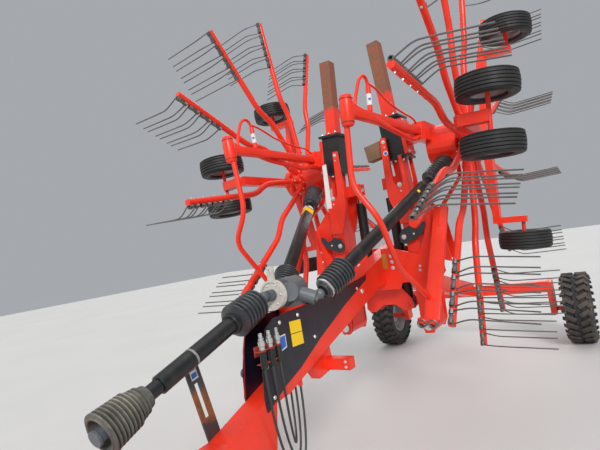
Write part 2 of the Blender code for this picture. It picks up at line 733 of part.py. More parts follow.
FORK_T = 0.022
FORK_Y = 0.110
FORK_OUTLINE = ((-0.055, -0.30), (-0.105, -0.10), (-0.105, 0.02), (-0.075, 0.36), (-0.035, 0.36),
                (-0.042, 0.02), (-0.025, -0.02), (0.020, -0.02), (0.032, 0.02), (0.034, 0.20),
                (0.058, 0.20), (0.060, 0.02), (0.060, -0.06), (0.045, -0.20), (0.045, -0.30))
ARM_BRACKET = ((0.30, 1.74), (0.30, 1.56), (0.36, 1.56), (0.42, 1.28), (0.565, 1.235), (0.515, 1.60),
               (0.38, 1.74))
ARM_BRACKET_Y = 0.085
ARM_BRACKET_T = 0.016
LEVER_T = 0.012
LEVER_OFF = 0.032
LEVER_HALF = 0.045
LEVER_HEAD = 0.45
LEVER_BLOCK_IN = 0.03
LEVER_BLOCK_SIZE = (0.05, 0.076, 0.07)
SLEEVE_Z = (2.03, 2.36)
SLEEVE_OUT = 0.15
FLANGE_OUT = 0.19
FLANGE_T = 0.018
HOUSING_R = 0.15
HOUSING_X = (-0.24, -0.025)
HEAD_BOX_X = -0.20
BRACKET_H = 0.13
BRACKET_DEEP = 0.09
CLAMP_T = 0.03
CLAMP_Z = (2.06, 2.33)
ELBOW_X = 0.47
AXLE_END_X = 0.20
CARRIER_X = 0.165
CARRIER_T = 0.055
CARRIER_R = 0.13
BEAM_H = 0.07
POST_ROOT = (0.055, 0.13)
POST_TIP = (0.05, 0.07)
POST_END_Z = 0.625
DROP_W = 0.045
DROP_D = 0.07
GUARD_R = 0.017
GUARD_BAR = 0.055
GUARD_START = (-0.245, -0.290, 0.085)
GUARD_FLANGE = (-0.245, -0.2915, 0.085)
GUARD_FLANGE_SIZE = (0.072, 0.0124, 0.12)
GUARD_SLEEVE = (-0.27, -1.35, 0.07)
GUARD_SLEEVE_LEN = 0.17
GUARD_SLEEVE_W = 0.075
GUARD_ROUTE = ((-0.28, -1.35, 0.10), (-0.285, -1.34, -0.34), (-0.15, -1.33, -0.53),
               (-0.16, -1.10, -0.82), (-0.09, -0.83, -1.04))
GUARD_POST = ((-0.08, 0.06, -0.10), (-0.06, 0.06, -0.25), (-0.06, -0.20, -0.36),
              (-0.086, -0.43, -0.49), (-0.081, -0.523, -0.62))
POST_START = (-0.086, -0.43, -0.49)
POST_END = (-0.062, -0.91, -1.165)
POST_W = 0.095
POST_D = 0.028
POST_FOOT = (0.12, 0.05, 0.05)
FOOT_SHIFT = (-0.025, 0, 0)
RING_R = 0.030
RING_OFF = 0.032
GUARD_RAIL = ((-0.27, -1.35, 0.12), (-0.24, -0.90, 0.04), (-0.24, -0.42, 0.0),
              (-0.24, -0.292, 0.05))
STUB_BACK = 0.085


def arm_x(z):
    share = (z - FORK_Z) / (ARM_TOP_Z - FORK_Z)
    return FORK_X + share * (ARM_TOP_X - FORK_X)


def build_side(side, tag):
    def flip(point):
        return Vector((side * point[0], point[1], point[2]))

    # Arm, with the foot that turns on the frame's pin.
    pivot = flip((PIVOT_X, 0, PIVOT_Z))
    up = flip((arm_x(ARM_TOP_Z) - arm_x(FORK_Z), 0, ARM_TOP_Z - FORK_Z)).normalized()
    place = axes_along(flip((FORK_X, 0, FORK_Z)), flip((ARM_TOP_X, 0, ARM_TOP_Z)), (side, 0, 0))
    pieces = [rod(pivot + Vector((0, -PIVOT_TUBE_HALF, 0)), pivot + Vector((0, PIVOT_TUBE_HALF, 0)),
                  PIVOT_TUBE_R, 20)]
    pieces.append(beam(pivot, flip((arm_x(ARM_FOOT_TOP_Z), 0, ARM_FOOT_TOP_Z)),
                       ARM_FOOT_W, ARM_FOOT_D))
    pieces.append(beam(flip((arm_x(BEAM_FOOT_Z), 0, BEAM_FOOT_Z)),
                       flip((ARM_TOP_X, 0, ARM_TOP_Z)), ARM_BEAM_W, ARM_BEAM_D))
    turn = Matrix(((1, 0, 0, 0), (0, 0, -1, 0), (0, 1, 0, 0), (0, 0, 0, 1)))
    for y in (-FORK_Y, FORK_Y):
        fork = plate(FORK_OUTLINE, FORK_T, Matrix.Translation((0, y, 0)) @ turn)
        for vert in fork.verts:
            vert.co.x *= side
        bmesh.ops.recalc_face_normals(fork, faces=fork.faces)
        lean = Matrix.Rotation(side * math.atan2(ARM_TOP_X - FORK_X, ARM_TOP_Z - FORK_Z), 4, "Y")
        fork.transform(Matrix.Translation(flip((FORK_X, 0, FORK_Z))) @ lean)
        pieces.append(fork)
    for y in (-ARM_BRACKET_Y, ARM_BRACKET_Y):
        outline = [(side * x, z) for x, z in ARM_BRACKET]
        pieces.append(plate(outline, ARM_BRACKET_T, upright(y)))
    eye = flip((CYL_EYE_X, CYL_Y, CYL_EYE_Z))
    for shift in (-LEVER_OFF, LEVER_OFF):
        root = flip((arm_x(CYL_EYE_Z), CYL_Y + shift, CYL_EYE_Z))
        tip = eye + Vector((-side * CYL_EYE_R, shift, 0))
        pieces.append(beam(root, tip, LEVER_T, 2 * LEVER_HALF, (0, 1, 0)))
        head = Vector((0, shift * LEVER_HEAD, 0))
        pieces.append(rod(eye + Vector((0, shift, 0)), eye + Vector((0, shift, 0)) + head,
                          CYL_PIN_R, 12))
    block = flip((arm_x(CYL_EYE_Z) - LEVER_BLOCK_IN, CYL_Y, CYL_EYE_Z))
    pieces.append(box(block, LEVER_BLOCK_SIZE))
    bore = rod(pivot + Vector((0, -2 * PIVOT_TUBE_HALF, 0)),
               pivot + Vector((0, 2 * PIVOT_TUBE_HALF, 0)), bore_r(PIN_R, 16), 16)
    part("arm_beam_" + tag, pieces, RED, PAINT_FINISH, [bore], origin=pivot)

    # Black clamp sleeve on the arm's beam.
    low = flip((arm_x(SLEEVE_Z[0]), 0, SLEEVE_Z[0]))
    high = flip((arm_x(SLEEVE_Z[1]), 0, SLEEVE_Z[1]))
    hollow = ARM_BEAM_W + 2 * SEAT_GAP
    sleeve = [beam(low, high, SLEEVE_OUT, SLEEVE_OUT)]
    for start in (low, high - up * FLANGE_T):
        sleeve.append(beam(start, start + up * FLANGE_T, FLANGE_OUT, FLANGE_OUT))
    part("arm_sleeve_" + tag, sleeve, BLACK, STEEL_FINISH,
         [beam(low - up * FLANGE_OUT, high + up * FLANGE_OUT, hollow, hollow)], origin=low)

    # Folding cylinder.
    foot = flip((CYL_FOOT_X, CYL_Y, CYL_FOOT_Z))
    reach = (eye - foot).length
    barrel = ((0, BARREL_START), (BARREL_R, BARREL_START), (BARREL_R, BARREL_END),
              (BARREL_BORE_R, BARREL_END), (BARREL_BORE_R, BARREL_BORE_START),
              (0, BARREL_BORE_START))
    ring = Vector((0, CYL_EYE_HALF, 0))
    wide = Vector((0, CYL_FOOT_HALF, 0))
    bores = rod(foot - 2 * wide, foot + 2 * wide, bore_r(CYL_PIN_R, 16), 16)
    part("cylinder_barrel_" + tag, [lathe(barrel, 20, foot, eye),
                                    rod(foot - wide, foot + wide, CYL_EYE_R, 16)],
         BLACK, PAINT_FINISH, [bores], origin=foot)
    along = (eye - foot).normalized()
    part("cylinder_rod_" + tag, [rod(foot + along * ROD_START, eye, ROD_R, 16),
                                 rod(eye - ring, eye + ring, CYL_EYE_R, 16)],
         GREY, STEEL_FINISH, origin=foot)

    # Rotor drive shaft.
    start, end, _ = drive_line(side)
    length = (end - start).length
    outer, _ = shaft_pieces(length, DRIVE_TUBE_R, DRIVE_BORE_R, DRIVE_ROD_R,
                                length - BELL_LEN * DRIVE_SHARES[0],
                                length * DRIVE_SHARES[1], DRIVE_BELL_R)
    bell = length - REAR_BELL_LEN
    inner = ((0, length * DRIVE_SHARES[1]), (DRIVE_ROD_R, length * DRIVE_SHARES[1]),
             (DRIVE_ROD_R, bell), (REAR_BELL_R * NECK_SHARE, bell), (REAR_BELL_R, bell + REAR_NECK),
             (REAR_BELL_R, length + REAR_OVER), (REAR_HOLLOW_R, length + REAR_OVER),
             (REAR_HOLLOW_R, length - REAR_DEPTH), (0, length - REAR_DEPTH))
    part("drive_outer_" + tag, [lathe(outer, SHAFT_STEPS, start, end)],
         PLASTIC, DULL_FINISH, origin=start)
    part("drive_inner_" + tag, [lathe(inner, SHAFT_STEPS, start, end)],
         PLASTIC, DULL_FINISH, origin=start)

    # Everything on the rotor is placed in the rotor's leaning axes.
    unit = empty("rotor_axis_" + tag,
                 Matrix.Translation(flip((HUB_X, HUB_Y, HUB_Z)))
                 @ Matrix.Rotation(side * LEAN, 4, "Y"))
    to_unit = unit.matrix_world.inverted()

    # Head: clamp arm to the sleeve, gear housing and fixed axle.
    clamp_off = Vector((side * (SLEEVE_OUT * HALF + SEAT_GAP + CLAMP_T * HALF), 0, 0))
    clamp = [to_unit @ (flip((arm_x(z), 0, z)) + clamp_off) for z in CLAMP_Z]
    elbow = to_unit @ flip((ELBOW_X, 0, HEAD_JOIN_Z))
    housing = [rod(flip((HOUSING_X[0], 0, 0)), flip((HOUSING_X[1], 0, 0)), HOUSING_R, 24)]
    inner_end = Vector((side * HEAD_BOX_X, 0, 0))
    housing.append(beam(clamp[0], clamp[1], CLAMP_T, SLEEVE_OUT))
    housing.append(beam((clamp[0] + clamp[1]) * HALF, elbow, BRACKET_DEEP, BRACKET_H, (0, 1, 0)))
    housing.append(beam(elbow - Vector((0, BRACKET_DEEP * HALF, 0)),
                        Vector((elbow.x, 0, elbow.z)), BRACKET_DEEP, BRACKET_H))
    housing.append(rod(inner_end, flip((AXLE_END_X, 0, 0)), AXLE_R, 20))
    # The drive's bell hangs over this stub with room for its drift as the arm folds.
    root = flip(STUB_ROOT)
    joint = to_unit @ end
    collar = joint + (root - joint).normalized() * STUB_BACK
    housing.append(rod(collar, root, STUB_R, 16))
    housing.append(rod(joint + (joint - root).normalized() * STUB_TIP, collar * HALF + root * HALF,
                       STUB_TIP_R, 8))
    part("gear_head_" + tag, housing, DARK_RED, PAINT_FINISH, parent=unit)

    # Carrier of the rotor's wheels, on the fixed axle.
    hub_face = flip((CARRIER_X - CARRIER_T * HALF, 0, 0))
    carrier = [rod(hub_face, flip((CARRIER_X + CARRIER_T * HALF, 0, 0)), CARRIER_R, 24)]
    carrier.append(beam(flip((CARRIER_X, 0, 0)), flip((CARRIER_X, FRONT_PAIR_Y, 0)),
                        CARRIER_T, BEAM_H))
    carrier.append(beam(flip((CARRIER_X, FRONT_PAIR_Y, 0)), flip((WHEEL_X, FRONT_PAIR_Y, 0)),
                        BEAM_H, BEAM_H, (0, 1, 0)))
    out = FRONT_PAIR_Z + WHEEL_HALF * HALF
    carrier.append(rod(flip((WHEEL_X, FRONT_PAIR_Y, -out)), flip((WHEEL_X, FRONT_PAIR_Y, out)),
                       SMALL_SPINDLE_R, 12))
    for end_sign in (-1, 1):
        post_end = flip((CARRIER_X, WIDE_PAIR_Y, end_sign * POST_END_Z))
        carrier.append(taper(flip((CARRIER_X, 0, 0)), post_end, POST_ROOT, POST_TIP))
        foot_end = flip((WHEEL_X, WIDE_PAIR_Y, end_sign * POST_END_Z))
        carrier.append(beam(flip((CARRIER_X - CARRIER_T * HALF, WIDE_PAIR_Y, end_sign * POST_END_Z)),
                            foot_end + flip((SMALL_SPINDLE_R * 2, 0, 0)), DROP_D, DROP_W,
                            (0, 1, 0)))
        tip = flip((WHEEL_X, WIDE_PAIR_Y, end_sign * (WIDE_PAIR_Z + WHEEL_HALF * HALF)))
        carrier.append(rod(foot_end, tip, SMALL_SPINDLE_R, 12))
    part("wheel_carrier_" + tag, carrier, RED, PAINT_FINISH,
         [rod(flip((0, 0, 0)), flip((WHEEL_X, 0, 0)), AXLE_R + SEAT_GAP, 20)], parent=unit)

    sizes = (WHEEL_R, WHEEL_HALF, RIM_R, RIM_HALF, bore_r(SMALL_SPINDLE_R, RIM_STEPS))
    for number, (y, z) in enumerate(((FRONT_PAIR_Y, FRONT_PAIR_Z), (FRONT_PAIR_Y, -FRONT_PAIR_Z),
                                     (WIDE_PAIR_Y, WIDE_PAIR_Z), (WIDE_PAIR_Y, -WIDE_PAIR_Z)), 1):
        wheel("rotor_wheel_" + tag + str(number), flip((WHEEL_X, y, z)), (0, 0, 1), sizes,
              TYRE_STEPS, RIM_STEPS, unit)

    # Rotor: hub, cranked tine arms and double tines in one body.
    hub_bore = bore_r(AXLE_R, HUB_STEPS)
    ring_profile = ((hub_bore, HUB_FRONT), (HUB_R, HUB_FRONT), (HUB_R, HUB_BACK),
                    (hub_bore, HUB_BACK))
    rotor = [lathe(ring_profile, HUB_STEPS, (0, 0, 0), (side, 0, 0))]
    arms = []
    tines = []
    coils = []
    for number in range(ARM_COUNT):
        angle = side * (number * ROUND / ARM_COUNT + ARM_PHASE)
        out_dir = Vector((0, math.sin(angle), math.cos(angle)))
        trail = side * Vector((0, math.cos(angle), -math.sin(angle)))

        def spot(radius, shift, x, out_dir=out_dir, trail=trail):
            return out_dir * radius + trail * shift + Vector((side * x, 0, 0))

        def arm_at(radius, out=ARM_END_X, root=ARM_ROOT_X):
            return root + (out - root) * radius / ARM_END_R

        arms.append([spot(ARM_ROOT_R, 0, ARM_ROOT_X), spot(ARM_KNEE_R, 0, arm_at(ARM_KNEE_R)),
                     spot(ARM_STEP_R, ARM_STEP, arm_at(ARM_STEP_R)),
                     spot(ARM_END_R, ARM_STEP, ARM_END_X)])
        for row in range(TINE_COUNT):
            radius = ARM_END_R - TINE_FROM_END - row * TINE_PITCH
            x = arm_at(radius)
            near = radius - TINE_SPLIT
            far = radius + TINE_SPLIT
            seat = ARM_STEP + TINE_SEAT
            for place in (near, far):
                tines.append([spot(place, seat, x),
                              spot(place, seat + TINE_KNEE_TRAIL, TINE_KNEE_X),
                              spot(place, seat + TINE_TIP_TRAIL, TINE_TIP_X)])
            coils.append([spot(near - COIL_OVER, seat, x), spot(far + COIL_OVER, seat, x)])
    rotor.append(wires(arms, ARM_TUBE_R, 1))
    rotor.append(wires(tines, TINE_WIRE_R, 0))
    rotor.append(wires(coils, COIL_WIRE_R, 0))
    part("rotor_" + tag, rotor, WIRE, STEEL_FINISH, parent=unit)

    # Guard: bar from the head to a sleeve, bent tube and flat post.
    bar = [beam(flip(GUARD_START), flip(GUARD_SLEEVE), GUARD_BAR, GUARD_BAR)]
    bar.append(box(flip(GUARD_FLANGE), GUARD_FLANGE_SIZE))
    sleeve_at = flip(GUARD_SLEEVE)
    half_len = Vector((0, 0, GUARD_SLEEVE_LEN * HALF))
    bar.append(beam(sleeve_at - half_len, sleeve_at + half_len, GUARD_SLEEVE_W, GUARD_SLEEVE_W))
    bar.append(wires([[flip(point) for point in GUARD_ROUTE]], GUARD_R, 2))
    bar.append(wires([[flip(point) for point in GUARD_POST]], GUARD_R, 2))
    bar.append(wires([[flip(point) for point in GUARD_RAIL]], GUARD_R, 2))
    bar.append(beam(flip(POST_START), flip(POST_END), POST_W, POST_D))
    foot_at = flip(Vector(POST_END) + Vector(FOOT_SHIFT))
    bar.append(box(foot_at, POST_FOOT))
    for shift in (-RING_OFF, RING_OFF):
        ring_at = foot_at + Vector((shift, 0, 0))
        bar.append(rod(ring_at - Vector((0, RING_R, 0)), ring_at + Vector((0, RING_R, 0)),
                       RING_R, 12))
    part("guard_" + tag, bar, RED, PAINT_FINISH,
         [rod(flip((HOUSING_X[0] * 2, 0, 0)), flip((0, 0, 0)), HOUSING_R + SEAT_GAP, 24)],
         parent=unit)


ARM_PHASE = math.radians(5.0)
COIL_OVER = 0.010
COIL_WIRE_R = 0.019
DRIVE_SHARES = (1.25, 0.42)
NECK_SHARE = 0.62
REAR_BELL_R = 0.078
REAR_HOLLOW_R = 0.071
REAR_BELL_LEN = 0.22
REAR_NECK = 0.05
REAR_OVER = 0.03
REAR_DEPTH = 0.06
STUB_ROOT = (-0.10, 0.02, -0.06)
STUB_TIP_R = 0.013
STUB_TIP = -0.005
HEAD_JOIN_Z = 2.205

for side, tag in ((-1, "l"), (1, "r")):
    build_side(side, tag)

big = (TYRE_R, TYRE_HALF, BIG_RIM_R, BIG_RIM_HALF, bore_r(SPINDLE_R, BIG_RIM_STEPS))
for side, tag in ((-1, "l"), (1, "r")):
    wheel("transport_wheel_" + tag, (side * TRACK_HALF, AXLE_Y, TYRE_R), (1, 0, 0), big,
          BIG_STEPS, BIG_RIM_STEPS)
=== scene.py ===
"""Dressed look of the folded rotary rake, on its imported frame.

Metres. X is across the machine, Y is rearwards and Z is up. Side is 1 on the +X half,
where names end in r, and -1 on the -X half, where they end in l.
"""
from math import cos, pi, radians, sin

import bmesh
import bpy
from mathutils import Matrix, Vector


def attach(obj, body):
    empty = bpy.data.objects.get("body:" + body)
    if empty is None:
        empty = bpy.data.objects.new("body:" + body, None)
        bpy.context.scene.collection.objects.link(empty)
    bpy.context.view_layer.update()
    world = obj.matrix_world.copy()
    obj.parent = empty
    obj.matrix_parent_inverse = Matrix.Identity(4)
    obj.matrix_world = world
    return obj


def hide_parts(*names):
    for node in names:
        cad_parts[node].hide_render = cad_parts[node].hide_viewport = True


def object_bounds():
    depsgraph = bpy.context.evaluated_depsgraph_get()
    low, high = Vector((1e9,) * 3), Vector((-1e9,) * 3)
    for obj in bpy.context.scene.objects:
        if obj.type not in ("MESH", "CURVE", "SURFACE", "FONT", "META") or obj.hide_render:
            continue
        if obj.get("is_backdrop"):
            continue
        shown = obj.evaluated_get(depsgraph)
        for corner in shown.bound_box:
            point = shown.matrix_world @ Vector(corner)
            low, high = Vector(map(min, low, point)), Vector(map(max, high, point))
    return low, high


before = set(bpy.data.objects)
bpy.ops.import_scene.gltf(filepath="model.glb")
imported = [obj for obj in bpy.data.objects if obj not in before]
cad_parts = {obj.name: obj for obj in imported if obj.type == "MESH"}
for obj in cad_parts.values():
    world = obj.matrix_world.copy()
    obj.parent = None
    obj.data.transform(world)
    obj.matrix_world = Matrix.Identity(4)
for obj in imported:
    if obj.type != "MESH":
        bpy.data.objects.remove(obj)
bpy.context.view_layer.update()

HALF = 0.5
ROUND = 2 * pi
SIDES = ((-1, "l"), (1, "r"))

# Camera at the photograph's viewing angle: place, then yaw, pitch and roll.
CAM_PLACE = (1.506, -3.33, 1.504)
CAM_TURN = (radians(33.8), radians(2.58), radians(8.74))
CAM_LENS = 27.3
CAM_SENSOR = 36.0


def new_object(name, data):
    """New object in the scene."""
    made = bpy.data.objects.new(name, data)
    bpy.context.collection.objects.link(made)
    return made


def make_camera():
    """Scene camera, which looks along +Y when nothing is turned."""
    yaw, pitch, roll = CAM_TURN
    ahead = Vector((-sin(yaw) * cos(pitch), cos(yaw) * cos(pitch), sin(pitch)))
    right = Vector((cos(yaw), sin(yaw), 0))
    up = right.cross(ahead)
    across = cos(roll) * right - sin(roll) * up
    top = cos(roll) * up + sin(roll) * right
    data = bpy.data.cameras.new("camera")
    data.lens = CAM_LENS
    data.sensor_width = CAM_SENSOR
    data.sensor_fit = "HORIZONTAL"
    camera = new_object("camera", data)
    place = Matrix((across, top, -ahead)).transposed().to_4x4()
    place.translation = CAM_PLACE
    camera.matrix_world = place
    bpy.context.scene.camera = camera


make_camera()


# ---- shapes
MERGE = 1e-6
CHAMFER_SHARE = 0.12
CORNER_SHARE = 0.45
SHARP = radians(35.0)
# Section of a round bolt head, as shares of its size.
DOME = ((0, 0.55), (0.5, 0.48), (0.85, 0.28), (1, 0), (0, 0))
DOME_STEPS = 14


def axes_along(start, end, side=None):
    """Matrix whose Z runs from start to end and whose X lies towards side."""
    along = (Vector(end) - Vector(start)).normalized()
    if side is None:
        side = (0, 1, 0) if abs(along.y) < HALF else (1, 0, 0)
    across = Vector(side) - along * along.dot(Vector(side))
    across.normalize()
    turn = Matrix((across, along.cross(across), along)).transposed().to_4x4()
    return Matrix.Translation(Vector(start)) @ turn


def lathe(profile, steps, start, end, closed=None):
    """Turn (radius, height) points round the line from start towards end."""
    bm = bmesh.new()
    if closed is None:
        closed = min(radius for radius, _ in profile) > 0
    verts = [bm.verts.new((radius, 0, height)) for radius, height in profile]
    edges = [bm.edges.new(pair) for pair in zip(verts, verts[1:])]
    if closed:
        edges.append(bm.edges.new((verts[-1], verts[0])))
    bmesh.ops.spin(bm, geom=verts + edges, cent=(0, 0, 0), axis=(0, 0, 1), dvec=(0, 0, 0),
                   angle=ROUND, steps=steps, use_merge=True)
    bmesh.ops.remove_doubles(bm, verts=bm.verts, dist=MERGE)
    bmesh.ops.recalc_face_normals(bm, faces=bm.faces)
    bm.transform(axes_along(start, end))
    return bm


def rod(start, end, radius, steps, chamfer=0.0):
    """Round bar with small chamfers."""
    length = (Vector(end) - Vector(start)).length
    cut = chamfer or min(radius, length) * CHAMFER_SHARE
    profile = ((0, 0), (radius - cut, 0), (radius, cut), (radius, length - cut),
               (radius - cut, length), (0, length))
    return lathe(profile, steps, start, end, False)


def box(centre, size, place=None, soft=0.0):
    """Block round a centre, with its edges rounded by soft."""
    bm = bmesh.new()
    bmesh.ops.create_cube(bm, size=1.0)
    bmesh.ops.scale(bm, vec=Vector(size), verts=bm.verts)
    if soft:
        bmesh.ops.bevel(bm, geom=bm.edges, offset=soft, segments=2, affect="EDGES", profile=0.5)
    bmesh.ops.translate(bm, vec=Vector(centre), verts=bm.verts)
    if place:
        bm.transform(place)
    return bm


def bar(start, end, width, depth, side=(1, 0, 0), soft=0.003):
    """Flat-sided bar from start to end, whose width lies towards side."""
    length = (Vector(end) - Vector(start)).length
    return box((0, 0, length * HALF), (width, depth, length), axes_along(start, end, side), soft)


def tube(points, radius, sides):
    """Round tube along the points, with closed ends."""
    points = [Vector(point) for point in points]
    bm = bmesh.new()
    rings = []
    across = None
    for index, point in enumerate(points):
        before = points[max(index - 1, 0)]
        after = points[min(index + 1, len(points) - 1)]
        along = (after - before).normalized()
        if across is None:
            across = along.orthogonal().normalized()
        across = (across - along * along.dot(across)).normalized()
        third = along.cross(across)
        ring = []
        for step in range(sides):
            angle = step * ROUND / sides
            outwards = cos(angle) * across + sin(angle) * third
            ring.append(bm.verts.new(point + radius * outwards))
        rings.append(ring)
    for first, second in zip(rings, rings[1:]):
        for step in range(sides):
            after = (step + 1) % sides
            bm.faces.new((first[step], first[after], second[after], second[step]))
    bm.faces.new(list(reversed(rings[0])))
    bm.faces.new(rings[-1])
    return bm


def rounded(points, reach, steps):
    """The points' line with its corners rounded over this reach."""
    points = [Vector(point) for point in points]
    line = [points[0]]
    for before, corner, after in zip(points, points[1:], points[2:]):
        back, ahead = before - corner, after - corner
        first = corner + back.normalized() * min(reach, back.length * CORNER_SHARE)
        last = corner + ahead.normalized() * min(reach, ahead.length * CORNER_SHARE)
        for step in range(steps + 1):
            share = step / steps
            line.append(first * (1 - share) ** 2 + corner * 2 * share * (1 - share) + last * share ** 2)
    line.append(points[-1])
    return line


def helix(start, end, radius, turns, steps):
    """Points of a coil wound from start to end, with this many steps a turn."""
    place = axes_along(start, end)
    length = (Vector(end) - Vector(start)).length
    count = int(turns * steps)
    return [place @ Vector((radius * cos(index * ROUND / steps), radius * sin(index * ROUND / steps),
                            length * index / count)) for index in range(count + 1)]


def bolt(place, towards, size):
    """Hexagon head on a washer, with the bolt's tip above it. The rest are shares of size."""
    washer_h, head_h, tip_h = 0.22, 0.85, 1.25
    washer_r, head_r, tip_r, cut = 1.15, 0.9, 0.45, 0.1
    place = Vector(place)
    way = Vector(towards).normalized()
    washer = rod(place, place + way * size * washer_h, size * washer_r, 14)
    head = rod(place + way * size * washer_h, place + way * size * head_h, size * head_r, 6, size * cut)
    tip = rod(place + way * size * head_h, place + way * size * tip_h, size * tip_r, 8)
    return [washer, head, tip]


def dome(place, towards, size):
    """Round bolt head."""
    profile = [(size * radius, size * height) for radius, height in DOME]
    return [lathe(profile, DOME_STEPS, place, Vector(place) + Vector(towards), False)]


def plate(outline, thickness, place, soft=0.0):
    """Flat outline, made thick to both sides of its place."""
    bm = bmesh.new()
    face = bm.faces.new([bm.verts.new((x, y, -thickness * HALF)) for x, y in outline])
    grown = bmesh.ops.extrude_face_region(bm, geom=[face])
    raised = [item for item in grown["geom"] if isinstance(item, bmesh.types.BMVert)]
    bmesh.ops.translate(bm, vec=(0, 0, thickness), verts=raised)
    bmesh.ops.recalc_face_normals(bm, faces=bm.faces)
    if soft:
        bmesh.ops.bevel(bm, geom=bm.edges, offset=soft, segments=1, affect="EDGES")
    bm.transform(place)
    return bm


def lengthwise(x):
    """Place for an outline in Y and Z, at this X."""
    return Matrix(((0, 0, 1, x), (1, 0, 0, 0), (0, 1, 0, 0), (0, 0, 0, 1)))


def upright(y):
    """Place for an outline in X and Z, at this Y."""
    return Matrix.Translation((0, y, 0)) @ Matrix.Rotation(pi * HALF, 4, "X")


def piece(name, shapes, mat, body, stands_for=()):
    """One object from the shapes, riding on a body."""
    whole = bmesh.new()
    for shape in shapes:
        mesh = bpy.data.meshes.new("shape")
        shape.to_mesh(mesh)
        shape.free()
        whole.from_mesh(mesh)
        bpy.data.meshes.remove(mesh)
    mesh = bpy.data.meshes.new(name)
    whole.to_mesh(mesh)
    whole.free()
    mesh.shade_smooth()
    mesh.set_sharp_from_angle(angle=SHARP)
    obj = new_object(name, mesh)
    mesh.materials.append(mat)
    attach(obj, body)
    if stands_for:
        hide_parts(*stands_for)
    return obj


# ---- finishes
DUST = (0.33, 0.27, 0.19)
COAT_ROUGH = 0.12
GRAIN_DETAIL, GRAIN_DEPTH = 4.0, 0.0015
EDGE_SAMPLES = 3
# A noise is its scale, detail, roughness and stretch. A span is the low and high that are
# looked at, and then what these two become, if that isn't 0 and 1.
MOTTLE_SPAN, ROUGH_SCALE, ROUGH_LOW, ROUGH_HIGH = (0.3, 0.7), 4, 0.8, 1.2
DRIP_NOISE, DRIP_SPAN = (26.0, 3.0, 0.5, (1.0, 1.0, 0.08)), (0.52, 0.75)
FACING_SPAN = (-0.4, 1.0, 0.25, 1.0)
CLOUD_NOISE, CLOUD_SPAN = (7.0, 8.0, 0.7), (0.38, 0.72)
FINE_NOISE, FINE_SPAN = (90.0, 3.0, 0.6), (0.35, 0.65, 0.6, 1.0)
CHIP_NOISE, CHIP_SPAN, CHIP_REACH = (34.0, 9.0, 0.75), (0.66, 0.69), 0.1
WORN_NOISE, WORN_WANDER, WORN_EDGE = 9.0, 0.14, 0.035
FLECK_NOISE, FLECK_SPAN = 40.0, (0.45, 0.8, 0.0, 0.5)
DUST_ROUGH, WORN_ROUGH = 0.5, 0.3


class Maker:
    """Small helper round one material's nodes."""

    def __init__(self, name):
        self.mat = bpy.data.materials.new(name)
        self.mat.use_nodes = True
        self.tree = self.mat.node_tree
        self.shader = self.tree.nodes["Principled BSDF"]
        self.coords = self.node("ShaderNodeTexCoord").outputs["Object"]

    def node(self, kind, **settings):
        made = self.tree.nodes.new(kind)
        for key, value in settings.items():
            setattr(made, key, value)
        return made

    def join(self, source, target):
        self.tree.links.new(source, target)

    def height(self, source):
        """Z of a vector."""
        made = self.node("ShaderNodeSeparateXYZ")
        self.join(source, made.inputs["Vector"])
        return made.outputs["Z"]

    def noise(self, scale, detail=5.0, rough=0.6, squeeze=None):
        """Noise over the object's own coordinates."""
        made = self.node("ShaderNodeTexNoise")
        self.fill(made, (("Scale", scale), ("Detail", detail), ("Roughness", rough)))
        source = self.coords
        if squeeze:
            stretch = self.node("ShaderNodeMapping")
            stretch.inputs["Scale"].default_value = squeeze
            self.join(source, stretch.inputs["Vector"])
            source = stretch.outputs["Vector"]
        self.join(source, made.inputs["Vector"])
        return made.outputs["Fac"]

    def span(self, source, low, high, first=0.0, last=1.0):
        """The source's low to high, made into first to last."""
        made = self.node("ShaderNodeMapRange")
        self.fill(made, (("Value", source), ("From Min", low), ("From Max", high),
                         ("To Min", first), ("To Max", last)))
        return made.outputs["Result"]

    def fill(self, made, values):
        """Give inputs, by name or number, an output, a number or a colour."""
        for slot, value in values:
            if isinstance(value, (int, float)):
                made.inputs[slot].default_value = value
            elif isinstance(value, tuple):
                made.inputs[slot].default_value = (*value, 1.0)
            else:
                self.join(value, made.inputs[slot])

    def sums(self, first, second, operation="MULTIPLY"):
        """Two values in one operation."""
        made = self.node("ShaderNodeMath", operation=operation)
        self.fill(made, ((0, first), (1, second)))
        return made.outputs["Value"]

    def blend(self, first, second, share):
        """Colour from first to second. A mix node's colours are 6, 7 and output 2."""
        made = self.node("ShaderNodeMix", data_type="RGBA")
        self.fill(made, ((0, share), (6, first), (7, second)))
        return made.outputs[2]


